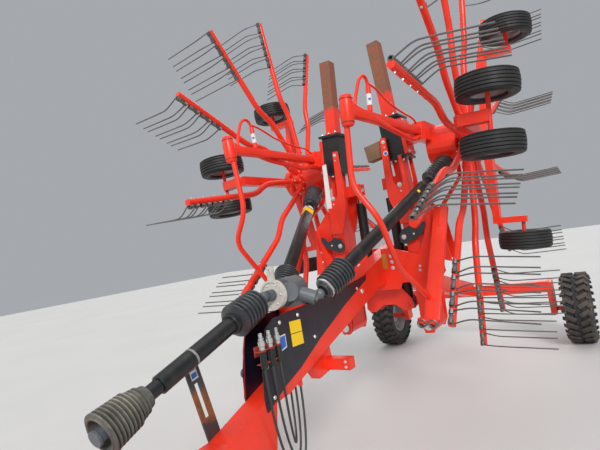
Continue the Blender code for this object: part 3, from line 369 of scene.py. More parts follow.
def finish(name, base, rough, metallic=0.0, vary=0.25, scale=5.0, dust_and_sheen=0.2, dust_and_sheen_tint=DUST,
           grain=0.1, grain_scale=220.0, coat=0.0, chips=0.0, chip_tint=(0.12, 0.05, 0.03),
           edge=0.002, streak=0.0, worn=None, worn_tint=(0.2, 0.1, 0.055)):
    """Paint, plastic, metal or rubber with mottling, settled dust, chips and fine grain. On the ribbed
    plastic the pale layer on upward faces is partly a painted highlight.

    worn is the height above which it is bare, or the two heights between which it is.
    """
    make = Maker(name)
    shade = tuple(channel * (1 - vary) for channel in base)
    light = tuple(min(channel * (1 + vary), 1.0) for channel in base)
    tint = make.blend(shade, light, make.span(make.noise(scale), *MOTTLE_SPAN))
    roughness = make.span(make.noise(scale * ROUGH_SCALE), *MOTTLE_SPAN, rough * ROUGH_LOW,
                          min(rough * ROUGH_HIGH, 1.0))
    if streak:
        drips = make.span(make.noise(*DRIP_NOISE), *DRIP_SPAN, 0.0, streak)
        tint = make.blend(tint, dust_and_sheen_tint, drips)
    if dust_and_sheen:
        normal = make.height(make.node("ShaderNodeNewGeometry").outputs["Normal"])
        facing = make.span(normal, *FACING_SPAN)
        cloud = make.span(make.noise(*CLOUD_NOISE), *CLOUD_SPAN)
        fine = make.span(make.noise(*FINE_NOISE), *FINE_SPAN)
        amount = make.sums(make.sums(make.sums(facing, cloud), fine), dust_and_sheen)
        tint = make.blend(tint, dust_and_sheen_tint, amount)
        roughness = make.sums(roughness, make.sums(amount, DUST_ROUGH), "ADD")
    if chips:
        low, high = [limit - chips * CHIP_REACH for limit in CHIP_SPAN]
        tint = make.blend(tint, chip_tint, make.span(make.noise(*CHIP_NOISE), low, high))
    if worn:
        wander = make.sums(make.noise(WORN_NOISE), WORN_WANDER)
        height = make.sums(make.height(make.coords), wander, "ADD")
        patch = make.span(height, worn[0], worn[0] + WORN_EDGE)
        if len(worn) > 1:
            patch = make.sums(patch, make.span(height, worn[1], worn[1] - WORN_EDGE))
        flecks = make.span(make.noise(FLECK_NOISE), *FLECK_SPAN)
        tint = make.blend(tint, make.blend(worn_tint, shade, flecks), patch)
        roughness = make.sums(roughness, make.sums(patch, WORN_ROUGH), "ADD")
    bump = make.node("ShaderNodeBump")
    make.fill(bump, (("Strength", grain), ("Distance", GRAIN_DEPTH),
                     ("Height", make.noise(grain_scale, GRAIN_DETAIL))))
    if edge:
        soft = make.node("ShaderNodeBevel", samples=EDGE_SAMPLES)
        make.fill(soft, (("Radius", edge),))
        make.join(soft.outputs["Normal"], bump.inputs["Normal"])
    make.fill(make.shader, (("Base Color", tint), ("Roughness", roughness),
                            ("Metallic", metallic), ("Coat Weight", coat),
                            ("Coat Roughness", COAT_ROUGH), ("Normal", bump.outputs["Normal"])))
    return make.mat


RED = (0.88, 0.03, 0.007)
RED_LOOK = dict(vary=0.1, dust_and_sheen=0.05, grain=0.05, coat=0.12, edge=0.003, streak=0.04)
LABEL_LOOK = dict(grain=0.02, edge=0.0)
ARM_BARE_Z, BAR_RUST_Z = (2.62,), (0.86, 1.02)

PAINT = finish("red_paint", RED, 0.4, chips=0.12, **RED_LOOK)
ARM_PAINT = finish("worn_red_paint", RED, 0.4, chips=0.15, worn=ARM_BARE_Z, **RED_LOOK)
# Darker copy of the red paint: painted shade for red parts that sit in shadow, and dirt on the wheel caps.
RED_PAINTED_SHADE_AND_DIRT = finish("dark_red_paint", (0.34, 0.012, 0.01), 0.4, vary=0.18, dust_and_sheen=0.25, coat=0.2, chips=0.3)
BLACK_STEEL = finish("black_steel", (0.011, 0.012, 0.014), 0.36, metallic=0.2, dust_and_sheen=0.06, coat=0.15)
BLACK_PLATE = finish("black_plate", (0.005, 0.006, 0.014), 0.36, dust_and_sheen=0.03,
                     dust_and_sheen_tint=(0.2, 0.2, 0.24), grain=0.12, coat=0.1, streak=0.02)
PLASTIC = finish("black_plastic", (0.008, 0.009, 0.01), 0.36, dust_and_sheen=0.05, grain=0.1, streak=0.05)
# The pale grey on the ribs' upward faces is partly dust and partly a painted highlight on the rib crests.
BELLOWS = finish("ribbed_plastic", (0.02, 0.024, 0.027), 0.3, dust_and_sheen=0.3,
                 dust_and_sheen_tint=(0.3, 0.31, 0.31), grain=0.15, coat=0.25)
PALE_BELLOWS = finish("dusty_ribbed_plastic", (0.085, 0.08, 0.07), 0.7, dust_and_sheen=0.95,
                      dust_and_sheen_tint=(0.46, 0.42, 0.34), grain=0.3, scale=9.0)
CAST = finish("cast_grey", (0.13, 0.145, 0.16), 0.5, metallic=0.35, dust_and_sheen=0.25, grain=0.35,
              grain_scale=160.0, chips=0.1)
STEEL = finish("tine_steel", (0.17, 0.165, 0.16), 0.42, metallic=0.75, dust_and_sheen=0.35, chips=0.3,
               chip_tint=(0.13, 0.07, 0.04))
ZINC = finish("zinc_bolts", (0.72, 0.72, 0.7), 0.32, metallic=0.6, dust_and_sheen=0.15, vary=0.12, edge=0.0)
GREY_PLATE = finish("grey_plate", (0.045, 0.05, 0.058), 0.42, metallic=0.4, dust_and_sheen=0.12, chips=0.15)
CREAM = finish("cream_plastic", (0.62, 0.6, 0.53), 0.5, dust_and_sheen=0.75,
               dust_and_sheen_tint=(0.3, 0.26, 0.2), grain=0.2, chips=0.5, chip_tint=(0.1, 0.08, 0.06))
RUBBER = finish("tyre_rubber", (0.013, 0.013, 0.014), 0.6, dust_and_sheen=0.16, dust_and_sheen_tint=(0.18, 0.16, 0.13), grain=0.4)
MUDDY = finish("dusty_tyre_rubber", (0.035, 0.033, 0.03), 0.8, dust_and_sheen=0.85,
               dust_and_sheen_tint=(0.24, 0.19, 0.14), grain=0.5)
RIM_GREY = finish("grey_rim", (0.3, 0.3, 0.31), 0.4, metallic=0.4, dust_and_sheen=0.35, chips=0.2)
RUSTY = finish("rusty_bar", (0.06, 0.064, 0.07), 0.5, metallic=0.4, dust_and_sheen=0.12,
               dust_and_sheen_tint=(0.28, 0.14, 0.07), chips=0.3, chip_tint=(0.2, 0.075, 0.03),
               grain=0.4, worn=BAR_RUST_Z, worn_tint=(0.3, 0.115, 0.045))
CHROME = finish("cylinder_rod", (0.55, 0.55, 0.56), 0.2, metallic=1.0, dust_and_sheen=0.12, grain=0.02, vary=0.08)
WHITE = finish("white_label", (0.78, 0.78, 0.76), 0.4, dust_and_sheen=0.2, vary=0.04, **LABEL_LOOK)
YELLOW = finish("yellow_label", (0.95, 0.62, 0.005), 0.4, dust_and_sheen=0.05, vary=0.05, **LABEL_LOOK)
BLUE = finish("blue_label", (0.03, 0.13, 0.55), 0.4, dust_and_sheen=0.15, vary=0.05, **LABEL_LOOK)
SILVER = finish("silver_coupling", (0.66, 0.66, 0.65), 0.25, metallic=0.85, dust_and_sheen=0.1, vary=0.1, edge=0.0)
HOSE = finish("hose_rubber", (0.03, 0.031, 0.034), 0.5, dust_and_sheen=0.25, grain=0.2, edge=0.0)
BROWN = finish("rust_brown", (0.21, 0.115, 0.065), 0.7, vary=0.3, dust_and_sheen=0.4,
               dust_and_sheen_tint=(0.3, 0.22, 0.15), grain=0.3, chips=0.4, chip_tint=(0.12, 0.06, 0.035))
OCHRE = finish("ochre_label", (0.55, 0.22, 0.02), 0.5, dust_and_sheen=0.3, grain=0.05, vary=0.15, edge=0.0)
FLOOR = finish("pale_floor", (0.62, 0.61, 0.59), 0.85, vary=0.03, scale=0.6, dust_and_sheen=0.0, grain=0.05, edge=0.0)


# ---- hoses from the couplings on the guard plate to the glands under the frame
COUPLER_X, COUPLER_Z = 0.1, 0.9647
GLAND_Y, GLAND_Z = -1.36, 0.7697
HOSE_D, HOSE_STEPS, HOSE_SIDES = 0.012, 36, 12
# Y at the coupling, X at the gland, sag and length.
HOSES = ((-1.7, 0.035, 0.62, 1.079), (-1.64, 0.0, 0.54, 0.943), (-1.58, -0.035, 0.46, 0.812))


def hose_route(y, end_x, sag):
    """Points of a hose that leaves straight down and comes back straight up."""
    start = Vector((COUPLER_X, y, COUPLER_Z))
    end = Vector((end_x, GLAND_Y, GLAND_Z))
    drop = Vector((0, 0, sag))
    points = []
    for step in range(HOSE_STEPS + 1):
        share = step / HOSE_STEPS
        rest = 1 - share
        points.append(start * rest ** 3 + (start - drop) * 3 * rest ** 2 * share
                      + (end - drop) * 3 * rest * share ** 2 + end * share ** 3)
    return points


for number, (y, end_x, sag, length) in enumerate(HOSES, 1):
    route = hose_route(y, end_x, sag)
    hose = piece("soft_hose_" + str(number), [tube(route, HOSE_D * HALF, HOSE_SIDES)], HOSE,
                 "chassis", ("hose_" + str(number),))


# ---- carried-over solids: smooth round faces, and better materials
SMOOTH_BELOW = radians(34.0)
# How a node's name starts, and its finish. The first that fits is taken.
LOOKS = (("side_guard", BLACK_PLATE), ("arm_sleeve", BLACK_STEEL),
         ("cylinder_barrel", BLACK_STEEL), ("cylinder_rod", CHROME), ("central_gearbox", CAST),
         ("guard_disc", CREAM), ("gear_head", PAINT), ("arm_latch", GREY_PLATE),
         ("slotted_bar", RUSTY), ("parking_stand", GREY_PLATE), ("stand_collar", PAINT),
         ("main_frame", PAINT), ("cross_plate", PAINT), ("headstock", PAINT),
         ("arm_beam", ARM_PAINT), ("wheel_carrier", PAINT), ("guard", PAINT))


def smooth_group():
    """Modifier that smooths a carried-over solid's round faces."""
    group = bpy.data.node_groups.new("smooth_by_angle", "GeometryNodeTree")
    for way in ("INPUT", "OUTPUT"):
        group.interface.new_socket("Geometry", in_out=way, socket_type="NodeSocketGeometry")
    start = group.nodes.new("NodeGroupInput")
    last = group.nodes.new("NodeGroupOutput")
    faces = group.nodes.new("GeometryNodeSetShadeSmooth")
    edges = group.nodes.new("GeometryNodeSetShadeSmooth")
    edges.domain = "EDGE"
    edges.inputs["Shade Smooth"].default_value = False
    angle = group.nodes.new("GeometryNodeInputMeshEdgeAngle")
    over = group.nodes.new("FunctionNodeCompare")
    over.data_type = "FLOAT"
    over.operation = "GREATER_THAN"
    over.inputs[1].default_value = SMOOTH_BELOW
    group.links.new(angle.outputs["Unsigned Angle"], over.inputs[0])
    group.links.new(over.outputs["Result"], edges.inputs["Selection"])
    for source, target in ((start, faces), (faces, edges), (edges, last)):
        group.links.new(source.outputs["Geometry"], target.inputs["Geometry"])
    return group


SMOOTH = smooth_group()
for name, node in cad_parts.items():
    for start, mat in LOOKS:
        if name.startswith(start):
            node.data.materials.clear()
            node.data.materials.append(mat)
            step = node.modifiers.new("smooth", "NODES")
            step.node_group = SMOOTH
            break


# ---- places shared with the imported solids
PIVOT_X, PIVOT_Z = 0.34, 0.8
FORK_X, FORK_Z = 0.285, 1.85
ARM_TOP_X, ARM_TOP_Z = 0.215, 2.97
LEAN = radians(4.0)
HUB = (0.7, 0.24, 2.1)
DRIVE = ((0.14, -1.2, 1.225), (0.574, 0.06, 1.928))
INPUT = ((0, -1.52, 1.27), (0, -2.52, 0.96))
DISC_AT = (0, -1.43, 1.27)


def arm_x(z):
    """Distance from the machine's middle to an arm's, at this height."""
    return FORK_X + (z - FORK_Z) / (ARM_TOP_Z - FORK_Z) * (ARM_TOP_X - FORK_X)


def unit_axes(side):
    """Axes of a rotor unit at its hub, whose X is the hub's line. The unit leans a little."""
    return Matrix.Translation((side * HUB[0], HUB[1], HUB[2])) @ Matrix.Rotation(side * LEAN, 4, "Y")


# ---- guarded drive shafts
# Sections are (radius, height) points. Heights run from the shaft's first end in BELL_NECK
# and COLLAR, from the bell's start in the other necks, and from the last end in the mouths.
BELL_LEN = 0.24
BELL_NECK, SHOULDER_H = ((0, 0.032), (0.034, 0.032), (0.036, 0.045)), 0.05
COLLAR = ((0.034, 0.046), (0.06, 0.046), (0.063, 0.049), (0.063, 0.057), (0.034, 0.057))
REAR_NECK = ((0, -0.02), (0.04, -0.02), (0.048, 0))
REAR_MOUTH = ((0.077, 0.012), (0.077, 0.029), (0.0715, 0.029), (0.071, -0.05), (0, -0.05))
FRONT_NECK = ((0, -0.02), (0.045, -0.02), (0.05, 0))
FRONT_MOUTH = ((0.066, -0.05), (0.06, -0.052), (0.058, -0.09), (0, -0.09))
REAR_LEN, REAR_OVER, TUBE_SHORT, SLIDE_SHARE = 0.22, 0.012, 1.25, 0.45
SQUARE_W, SQUARE_MARK_W, SQUARE_WAY, SQUARE_SOFT = 0.07, 0.0735, (1, -0.6, 0.2), 0.009
TUBE_R, RING_R, SLIDE_R, FERRULE_L_R, FERRULE_R_R = 0.0415, 0.0425, 0.0265, 0.05, 0.052
MARK_BACK, MARK_OUT, MARK_WAY = 0.12, 0.0412, Vector((0.6, -0.7, 0.2))


def shaft_line(ends, side=1):
    """Start, end, length and direction of a shaft."""
    start, end = [Vector((side * x, y, z)) for x, y, z in ends]
    return start, end, (end - start).length, (end - start).normalized()


def ribbed(first, last, radius, last_radius, ribs, depth):
    """Section of a ribbed bell: height from first to last."""
    line = []
    for index in range(ribs):
        low = first + (last - first) * index / ribs
        pitch = (last - first) / ribs
        middle = radius + (last_radius - radius) * (index + HALF) / ribs
        line += [(middle - depth, low), (middle - depth, low + pitch * 0.25),
                 (middle, low + pitch * 0.45), (middle, low + pitch * 0.8), (middle - depth, low + pitch)]
    return line


def moved(section, by):
    """The section, moved along its height."""
    return [(radius, height + by) for radius, height in section]


def joint_bell(shoulder_r, ribs, tail_r, tail):
    """Section of a bell at a shaft's first end, from its neck over the ribs to its tail."""
    return [*BELL_NECK, (shoulder_r, SHOULDER_H), *ribs, (tail_r, BELL_LEN + tail), (0, BELL_LEN + tail)]


for side, tag in SIDES:
    outer, inner = "drive_outer_" + tag, "drive_inner_" + tag
    start, end, length, line = shaft_line(DRIVE, side)
    bell = joint_bell(0.055, ribbed(0.055, BELL_LEN, 0.072, 0.08, 8, 0.011), 0.055, 0.012)
    piece("drive_bell_" + tag, [lathe(bell, 36, start, end, False)], BELLOWS, outer, (outer,))
    piece("drive_collar_" + tag, [lathe(COLLAR, 36, start, end)], SILVER, outer)
    tube_from = start + line * BELL_LEN
    tube_to = start + line * (length - BELL_LEN * TUBE_SHORT)
    if side < 0:
        shapes = [bar(tube_from, tube_to, SQUARE_W, SQUARE_W, SQUARE_WAY, SQUARE_SOFT),
                  rod(tube_from, tube_from + line * 0.05, FERRULE_L_R, 24)]
    else:
        shapes = [rod(tube_from, tube_to, TUBE_R, 32, 0.004),
                  rod(tube_from, tube_from + line * 0.03, FERRULE_R_R, 24)]
    piece("drive_tube_" + tag, shapes, PLASTIC, outer)
    ring = [rod(tube_to - line * 0.03, tube_to - line * 0.012, RING_R, 32, 0.003)]
    if side < 0:
        piece("drive_ring_l", ring, WHITE, outer)
        label = bar(tube_to - line * 0.11, tube_to - line * 0.035, SQUARE_MARK_W,
                    SQUARE_MARK_W, SQUARE_WAY, SQUARE_SOFT)
        piece("drive_label_l", [label], YELLOW, outer)
    else:
        piece("drive_ring_r", ring, BELLOWS, outer)
        middle = tube_to - line * MARK_BACK
        dot = middle + (MARK_WAY - line * line.dot(MARK_WAY)).normalized() * MARK_OUT
        piece("drive_mark_r", dome(dot, dot - middle, 0.012), YELLOW, outer)
    rear = length - REAR_LEN
    bell = moved(REAR_NECK, rear)
    bell += ribbed(rear, length + REAR_OVER, 0.064, 0.077, 8, 0.011)
    bell += moved(REAR_MOUTH, length)
    piece("drive_rear_bell_" + tag, [lathe(bell, 36, start, end, False)], BELLOWS, inner, (inner,))
    slide = rod(start + line * length * SLIDE_SHARE, start + line * rear, SLIDE_R, 20)
    piece("drive_slide_" + tag, [slide], PLASTIC, inner)

# The input shaft, by distance from its rear end. Its yoke is measured from its own two ends.
INPUT_SHARE, INPUT_FERRULE, INPUT_RING, INPUT_SLIDE = 0.92, 0.035, (0.53, 0.542), 0.32
SMALL_RIBS, RIBS_END, YOKE_LEN, YOKE_HALF = 0.05, 0.055, 0.09, 0.02
start, end, length, line = shaft_line(INPUT)
tube_from = start + line * BELL_LEN
tube_to = start + line * (length * INPUT_SHARE - BELL_LEN)
bell = joint_bell(0.05, ribbed(0.055, BELL_LEN, 0.078, 0.084, 7, 0.012), 0.052, 0.01)
piece("input_bell_rear", [lathe(bell, 40, start, end, False)], BELLOWS, "input_outer",
      ("input_shaft_outer",))
shapes = [rod(tube_from, tube_to, 0.0395, 32, 0.003),
          rod(tube_from, start + line * (BELL_LEN + INPUT_FERRULE), 0.052, 32)]
piece("input_tube", shapes, PLASTIC, "input_outer")
ring_from, ring_to = [start + line * reach for reach in INPUT_RING]
piece("input_ring", [rod(ring_from, ring_to, 0.0405, 32)], RIM_GREY, "input_outer")
back = length - BELL_LEN
bell = moved(FRONT_NECK, back)
bell += ribbed(back, back + SMALL_RIBS, 0.056, 0.066, 3, 0.007)
bell += ribbed(back + SMALL_RIBS, length - RIBS_END, 0.072, 0.083, 8, 0.014)
bell += moved(FRONT_MOUTH, length)
piece("input_bell_front", [lathe(bell, 40, start, end, False)], PALE_BELLOWS, "input_inner",
      ("input_shaft_inner",))
slide = rod(start + line * INPUT_SLIDE, start + line * back, 0.0305, 24)
piece("input_slide", [slide], PLASTIC, "input_inner")
tip = start + line * (length - YOKE_LEN)
yoke = [rod(tip, tip + line * 0.045, 0.026, 20), rod(end - line * 0.046, end - line * 0.031, 0.031, 20)]
for way in (-1, 1):
    aside = Vector((YOKE_HALF * way, 0, 0))
    yoke.append(bar(tip + line * 0.02 + aside, end - line * 0.034 + aside, 0.012, 0.03))
piece("input_yoke", yoke, CAST, "input_inner")


# ---- wheels
def tyre_section(radius, half, bead, bead_half, ribs, groove):
    """Closed section of a ribbed tyre. Shares are of its wall, half width and rib width."""
    wall = radius - bead
    lip = 0.006
    line = [(bead, -bead_half), (bead + lip, -bead_half - lip),
            (bead + wall * 0.12, -half * 0.9), (bead + wall * 0.42, -half),
            (radius - wall * 0.22, -half * 0.97), (radius - wall * 0.07, -half * 0.86)]
    other_side = [(r, -h) for r, h in reversed(line)]
    tread = half * 0.78
    for index in range(ribs):
        low = -tread + 2 * tread * index / ribs
        width = 2 * tread / ribs
        crown = radius - 0.05 * radius * ((low + width * HALF) / half) ** 2
        line += [(crown - groove, low + width * 0.06), (crown, low + width * 0.14),
                 (crown, low + width * 0.86), (crown - groove, low + width * 0.94)]
    return line + other_side


def rim_section(radius, half, bore, dish):
    """Closed section of a dished wheel centre. Shares are of its radius and half width."""
    def face(way, dish):
        """One face's points, from the bore outwards."""
        line = ((bore, 0.35), (bore * 1.9, 0.38), (radius * 0.5, dish), (radius * 0.78, dish),
                (radius * 0.86, 0.8), (radius * 0.92, 1), (radius, 1), (radius, 0.9), (radius * 0.97, 0.5))
        return [(r, way * half * share) for r, share in line]

    return face(-1, dish) + face(1, dish * 0.8)[::-1]


def hub_bolts(place, axis, circle, count, offset, size):
    """Bolts in a circle on both faces of a wheel."""
    axes = axes_along(place, Vector(place) + Vector(axis))
    shapes = []
    for way in (-1, 1):
        for index in range(count):
            angle = index * ROUND / count
            foot = axes @ Vector((circle * cos(angle), circle * sin(angle), way * offset))
            shapes += bolt(foot, Vector(axis) * way, size)
    return shapes


# A tyre is its radius, half width, bead's radius and half width, ribs and groove. A rim is
# its radius, half width, bore and dish. Bolts are their circle, count, offset and size.
WHEEL_X = 0.34
WHEEL_TYRE, WHEEL_RIM = (0.18, 0.066, 0.1004, 0.043, 5, 0.006), (0.0999, 0.043, 0.0145, 0.3)
WHEEL_BOLTS = (0.042, 5, 0.016, 0.007)
# Y and Z of a rotor's wheels, in the unit's axes.
SPOTS = ((-0.77, 0.17), (-0.77, -0.17), (0.12, 0.775), (0.12, -0.775))
for side, tag in SIDES:
    axes = unit_axes(side)
    axle = (axes.to_3x3() @ Vector((0, 0, 1))).normalized()
    for number, (y, z) in enumerate(SPOTS, 1):
        body = "rotor_wheel_" + tag + str(number)
        place = axes @ Vector((side * WHEEL_X, y, z))
        piece(body + "_tread", [lathe(tyre_section(*WHEEL_TYRE), 56, place, place + axle)],
              RUBBER, body, (body + "_tyre",))
        piece(body + "_disc", [lathe(rim_section(*WHEEL_RIM), 48, place, place + axle)],
              RIM_GREY, body, (body + "_rim",))
        piece(body + "_bolts", hub_bolts(place, axle, *WHEEL_BOLTS), ZINC, body)

TRACK, AXLE_Y, TYRE_R, TYRE_HALF = 1.1, 2.456, 0.38, 0.13
CASING = (TYRE_R - 0.016, TYRE_HALF - 0.006, 0.2054, 0.104, 3, 0.006)
RIM, RIM_BOLTS = (0.2048, 0.103, 0.029, 0.25), (0.085, 6, 0.03, 0.011)
BLOCK_COUNT, BLOCK_H = 26, 0.02
CAP_FROM, CAP_TO, CAP_R = 0.012, 0.075, 0.048


def tread_blocks(place, radius, half, count, height):
    """Two rows of slanted blocks, and a shoulder block by each, round a tyre along X.

    Shares are of the tyre's radius and half width and of the blocks' height.
    """
    shapes = []
    for index in range(count):
        for way in (-1, 1):
            angle = (index + (HALF if way > 0 else 0.0)) * ROUND / count
            turn = Matrix.Translation(place) @ Matrix.Rotation(angle, 4, "X")
            slant = (Matrix.Translation((way * half * 0.5, 0, radius - height * 0.62))
                     @ Matrix.Rotation(way * 0.5, 4, "Z"))
            shapes.append(box((0, 0, 0), (half * 0.82, radius * 0.115, height), turn @ slant, 0.004))
            shoulder = (Matrix.Translation((way * half * 0.91, radius * -0.02, radius * 0.925))
                        @ Matrix.Rotation(way * 0.85, 4, "Y"))
            shapes.append(box((0, 0, 0), (height * 3.2, radius * 0.1, height * 0.8),
                              turn @ shoulder, 0.003))
    return shapes


for side, tag in SIDES:
    body = "transport_wheel_" + tag
    place = Vector((side * TRACK, AXLE_Y, TYRE_R))
    end = place + Vector((1, 0, 0))
    piece(body + "_casing", [lathe(tyre_section(*CASING), 72, place, end)], RUBBER, body, (body + "_tyre",))
    piece(body + "_tread", tread_blocks(place, TYRE_R, TYRE_HALF, BLOCK_COUNT, BLOCK_H), MUDDY, body)
    piece(body + "_disc", [lathe(rim_section(*RIM), 64, place, end)], RIM_GREY, body, (body + "_rim",))
    piece(body + "_bolts", hub_bolts(place, (1, 0, 0), *RIM_BOLTS), ZINC, body)
    cap_from, cap_to = [place + Vector((side * reach, 0, 0)) for reach in (CAP_FROM, CAP_TO)]
    # The cap's darker red is dirt and painted shade.
    piece(body + "_cap", [rod(cap_from, cap_to, CAP_R, 28, 0.008)], RED_PAINTED_SHADE_AND_DIRT, body)


# ---- rotors: cranked arms, clamps, coils and double tines
ARM_COUNT, ARM_PHASE = 12, radians(5.0)
ROOT_R, KNEE_R, STEP_R, END_R = 0.1, 0.62, 0.78, 1.5
ROOT_X, END_X, ARM_STEP, ARM_R = 0.035, 0.055, 0.07, 0.024
ARM_SHARE, ARM_BEND = 0.97, 0.07
SOCKET_FROM, SOCKET_TO, SOCKET_R, SOCKET_FACE, SOCKET_BOLTS = 0.13, 0.27, 0.03, 0.029, (0.16, 0.24)
TINE_COUNT, TINE_PITCH, TINE_FROM_END, TINE_SPLIT = 4, 0.11, 0.044, 0.034
SEAT, WIRE_R, WIRE_BEND = 0.03, 0.0046, 0.09
COIL_BACK, COIL_ON, COIL_R, COIL_TURNS = 0.018, 0.009, 0.0142, 4
# Where a tine's wire leaves its coil, and its knee and tip: trail from the seat, and X.
WIRE_FROM, WIRE_LINE = (-0.013, 0.002), ((0.052, 0.165), (0.05, 0.23), (0.02, 0.5245))
CLAMP_HALF, CLAMP_SINK, CLAMP_W, CLAMP_D = 0.018, 0.004, 0.03, 0.022
DRUM = ((0.04, 0.002), (0.135, 0.002), (0.158, 0.012), (0.158, 0.07), (0.15, 0.083), (0.04, 0.083))
DRUM_BOLTS, DRUM_CIRCLE, DRUM_FACE = 12, 0.118, 0.003


def tine_arm_x(radius):
    """X of a tine arm's middle in the unit's axes, at this radius."""
    return ROOT_X + (END_X - ROOT_X) * radius / END_R


for side, tag in SIDES:
    axes = unit_axes(side)
    body = "rotor_" + tag
    inwards = axes.to_3x3() @ Vector((-side, 0, 0))
    arms, sockets, clamps, coils, bolts = [], [], [], [], []
    for number in range(ARM_COUNT):
        angle = side * (number * ROUND / ARM_COUNT + ARM_PHASE)
        out = Vector((0, sin(angle), cos(angle)))
        trail = side * Vector((0, cos(angle), -sin(angle)))

        def spot(radius, shift, x, out=out, trail=trail, axes=axes, side=side):
            """World place at this radius, shift along the trail and X of the +X unit."""
            return axes @ (out * radius + trail * shift + Vector((side * x, 0, 0)))

        route = [spot(ROOT_R, 0, ROOT_X), spot(KNEE_R, 0, tine_arm_x(KNEE_R)),
                 spot(STEP_R, ARM_STEP, tine_arm_x(STEP_R)), spot(END_R, ARM_STEP, END_X)]
        arms.append(tube(rounded(route, ARM_BEND, 5), ARM_R * ARM_SHARE, 14))
        sockets.append(rod(spot(SOCKET_FROM, 0, ROOT_X),
                           spot(SOCKET_TO, 0, tine_arm_x(SOCKET_TO)), SOCKET_R, 18, 0.003))
        for radius in SOCKET_BOLTS:
            bolts += bolt(spot(radius, 0, tine_arm_x(radius) - SOCKET_FACE), inwards, 0.008)
        for row in range(TINE_COUNT):
            radius = END_R - TINE_FROM_END - row * TINE_PITCH
            x = tine_arm_x(radius)
            seat = ARM_STEP + SEAT
            for way in (-1, 1):
                place = radius + way * TINE_SPLIT
                coil_from = place - way * COIL_BACK
                coil_to = place + way * COIL_ON
                coil = helix(spot(coil_from, seat, x), spot(coil_to, seat, x), COIL_R, COIL_TURNS, 8)
                coils.append(tube(coil, WIRE_R, 5))
                points = [spot(coil_to, seat + WIRE_FROM[0], x + WIRE_FROM[1])]
                points += [spot(place, seat + shift, far) for shift, far in WIRE_LINE]
                coils.append(tube(rounded(points, WIRE_BEND, 4), WIRE_R, 6))
            clamps.append(bar(spot(radius - CLAMP_HALF, seat - CLAMP_SINK, x),
                              spot(radius + CLAMP_HALF, seat - CLAMP_SINK, x), CLAMP_W,
                              CLAMP_D, trail, 0.004))
            bolts += bolt(spot(radius, ARM_STEP - ARM_R, x), axes.to_3x3() @ -trail, 0.0075)
    piece("rotor_arms_" + tag, arms, PAINT, body, (body,))
    piece("rotor_sockets_" + tag, sockets, PAINT, body)
    piece("rotor_tines_" + tag, coils, STEEL, body)
    piece("rotor_clamps_" + tag, clamps, STEEL, body)
    hub_from, hub_to = axes @ Vector((0, 0, 0)), axes @ Vector((side, 0, 0))
    piece("rotor_hub_" + tag, [lathe(DRUM, 48, hub_from, hub_to)], PAINT, body)
    for index in range(DRUM_BOLTS):
        angle = (index + HALF) * ROUND / DRUM_BOLTS
        place = axes @ Vector((side * DRUM_FACE, DRUM_CIRCLE * sin(angle), DRUM_CIRCLE * cos(angle)))
        bolts += bolt(place, inwards, 0.009)
    piece("rotor_bolts_" + tag, bolts, ZINC, body)


# ---- bolts, caps and labels on the frame
GUARD_X, CROSS_FACE_Y, CROSS_BACK = 0.0654, 0.1432, 0.011
# Y and Z on the side guards.
GUARD_BOLTS = ((-1.333, 1.14), (-1.497, 1.135), (-1.644, 0.955), (-1.618, 0.8),
               (-1.2, 0.99), (-0.62, 1.165))
# X and Z on the cross plates, and size on the front one.
CROSS_BOLTS = ((0.139, 1.28, 0.013), (0.138, 1.235, 0.013), (0.137, 1.325, 0.013),
               (0.347, 1.229, 0.009), (0.342, 1.2, 0.009))
BEAM_CAP, LUG_BOLTS = (0.0602, -0.542, 1.135), ((0.165, -1.083, 0.785), (0.165, -1.083, 0.815))
PIN_OUT, PIN_HEAD_R = (0.151, 0.158), 0.034
frame_bolts = []
for y, z in GUARD_BOLTS:
    for side in (-1, 1):
        frame_bolts += dome((side * GUARD_X, y, z), (side, 0, 0), 0.011)
for x, z, size in CROSS_BOLTS:
    for side in (-1, 1):
        frame_bolts += bolt((side * x, -CROSS_FACE_Y, z), (0, -1, 0), size)
        frame_bolts += bolt((side * x, CROSS_FACE_Y, z), (0, 1, 0), CROSS_BACK)
frame_bolts += dome(BEAM_CAP, (1, 0, 0), 0.017)
for place in LUG_BOLTS:
    frame_bolts += bolt(place, (0, -1, 0), 0.008)
piece("frame_bolts", frame_bolts, ZINC, "chassis")

pins = []
for side in (-1, 1):
    for way in (-1, 1):
        ends = [(side * PIVOT_X, way * out, PIVOT_Z) for out in PIN_OUT]
        pins.append(rod(*ends, PIN_HEAD_R, 24))
piece("pin_heads", pins, ZINC, "chassis")

# Labels: Y and Z on the side guard, X and Z on the cross plate.
LABEL_T, LABEL_OUT, UPPER_OUT, OCHRE_Y = 0.0012, 0.0007, 0.0012, -0.1438
YELLOW_FIELDS = (((-1.419, 1.121), (-1.317, 1.114), (-1.3155, 1.052), (-1.418, 1.058)),
                 ((-1.418, 1.054), (-1.3155, 1.048), (-1.314, 0.984), (-1.417, 0.99)))
BLUE_RIM = ((-1.524, 1.069), (-1.467, 1.072), (-1.467, 1.003), (-1.522, 0.993))
BLUE_FIELD = ((-1.519, 1.064), (-1.472, 1.066), (-1.472, 1.009), (-1.517, 1.0))
OCHRE_FIELD = ((0.06, 1.235), (0.1, 1.235), (0.1, 1.345), (0.06, 1.345))
on_guard = lengthwise(GUARD_X + LABEL_OUT)
LABELS = (("yellow_label", YELLOW_FIELDS, on_guard, YELLOW),
          ("blue_label_rim", [BLUE_RIM], on_guard, WHITE),
          ("blue_label", [BLUE_FIELD], lengthwise(GUARD_X + UPPER_OUT), BLUE),
          ("ochre_label", [OCHRE_FIELD], upright(OCHRE_Y), OCHRE))
for name, fields, place, mat in LABELS:
    piece(name, [plate(field, LABEL_T, place) for field in fields], mat, "chassis")

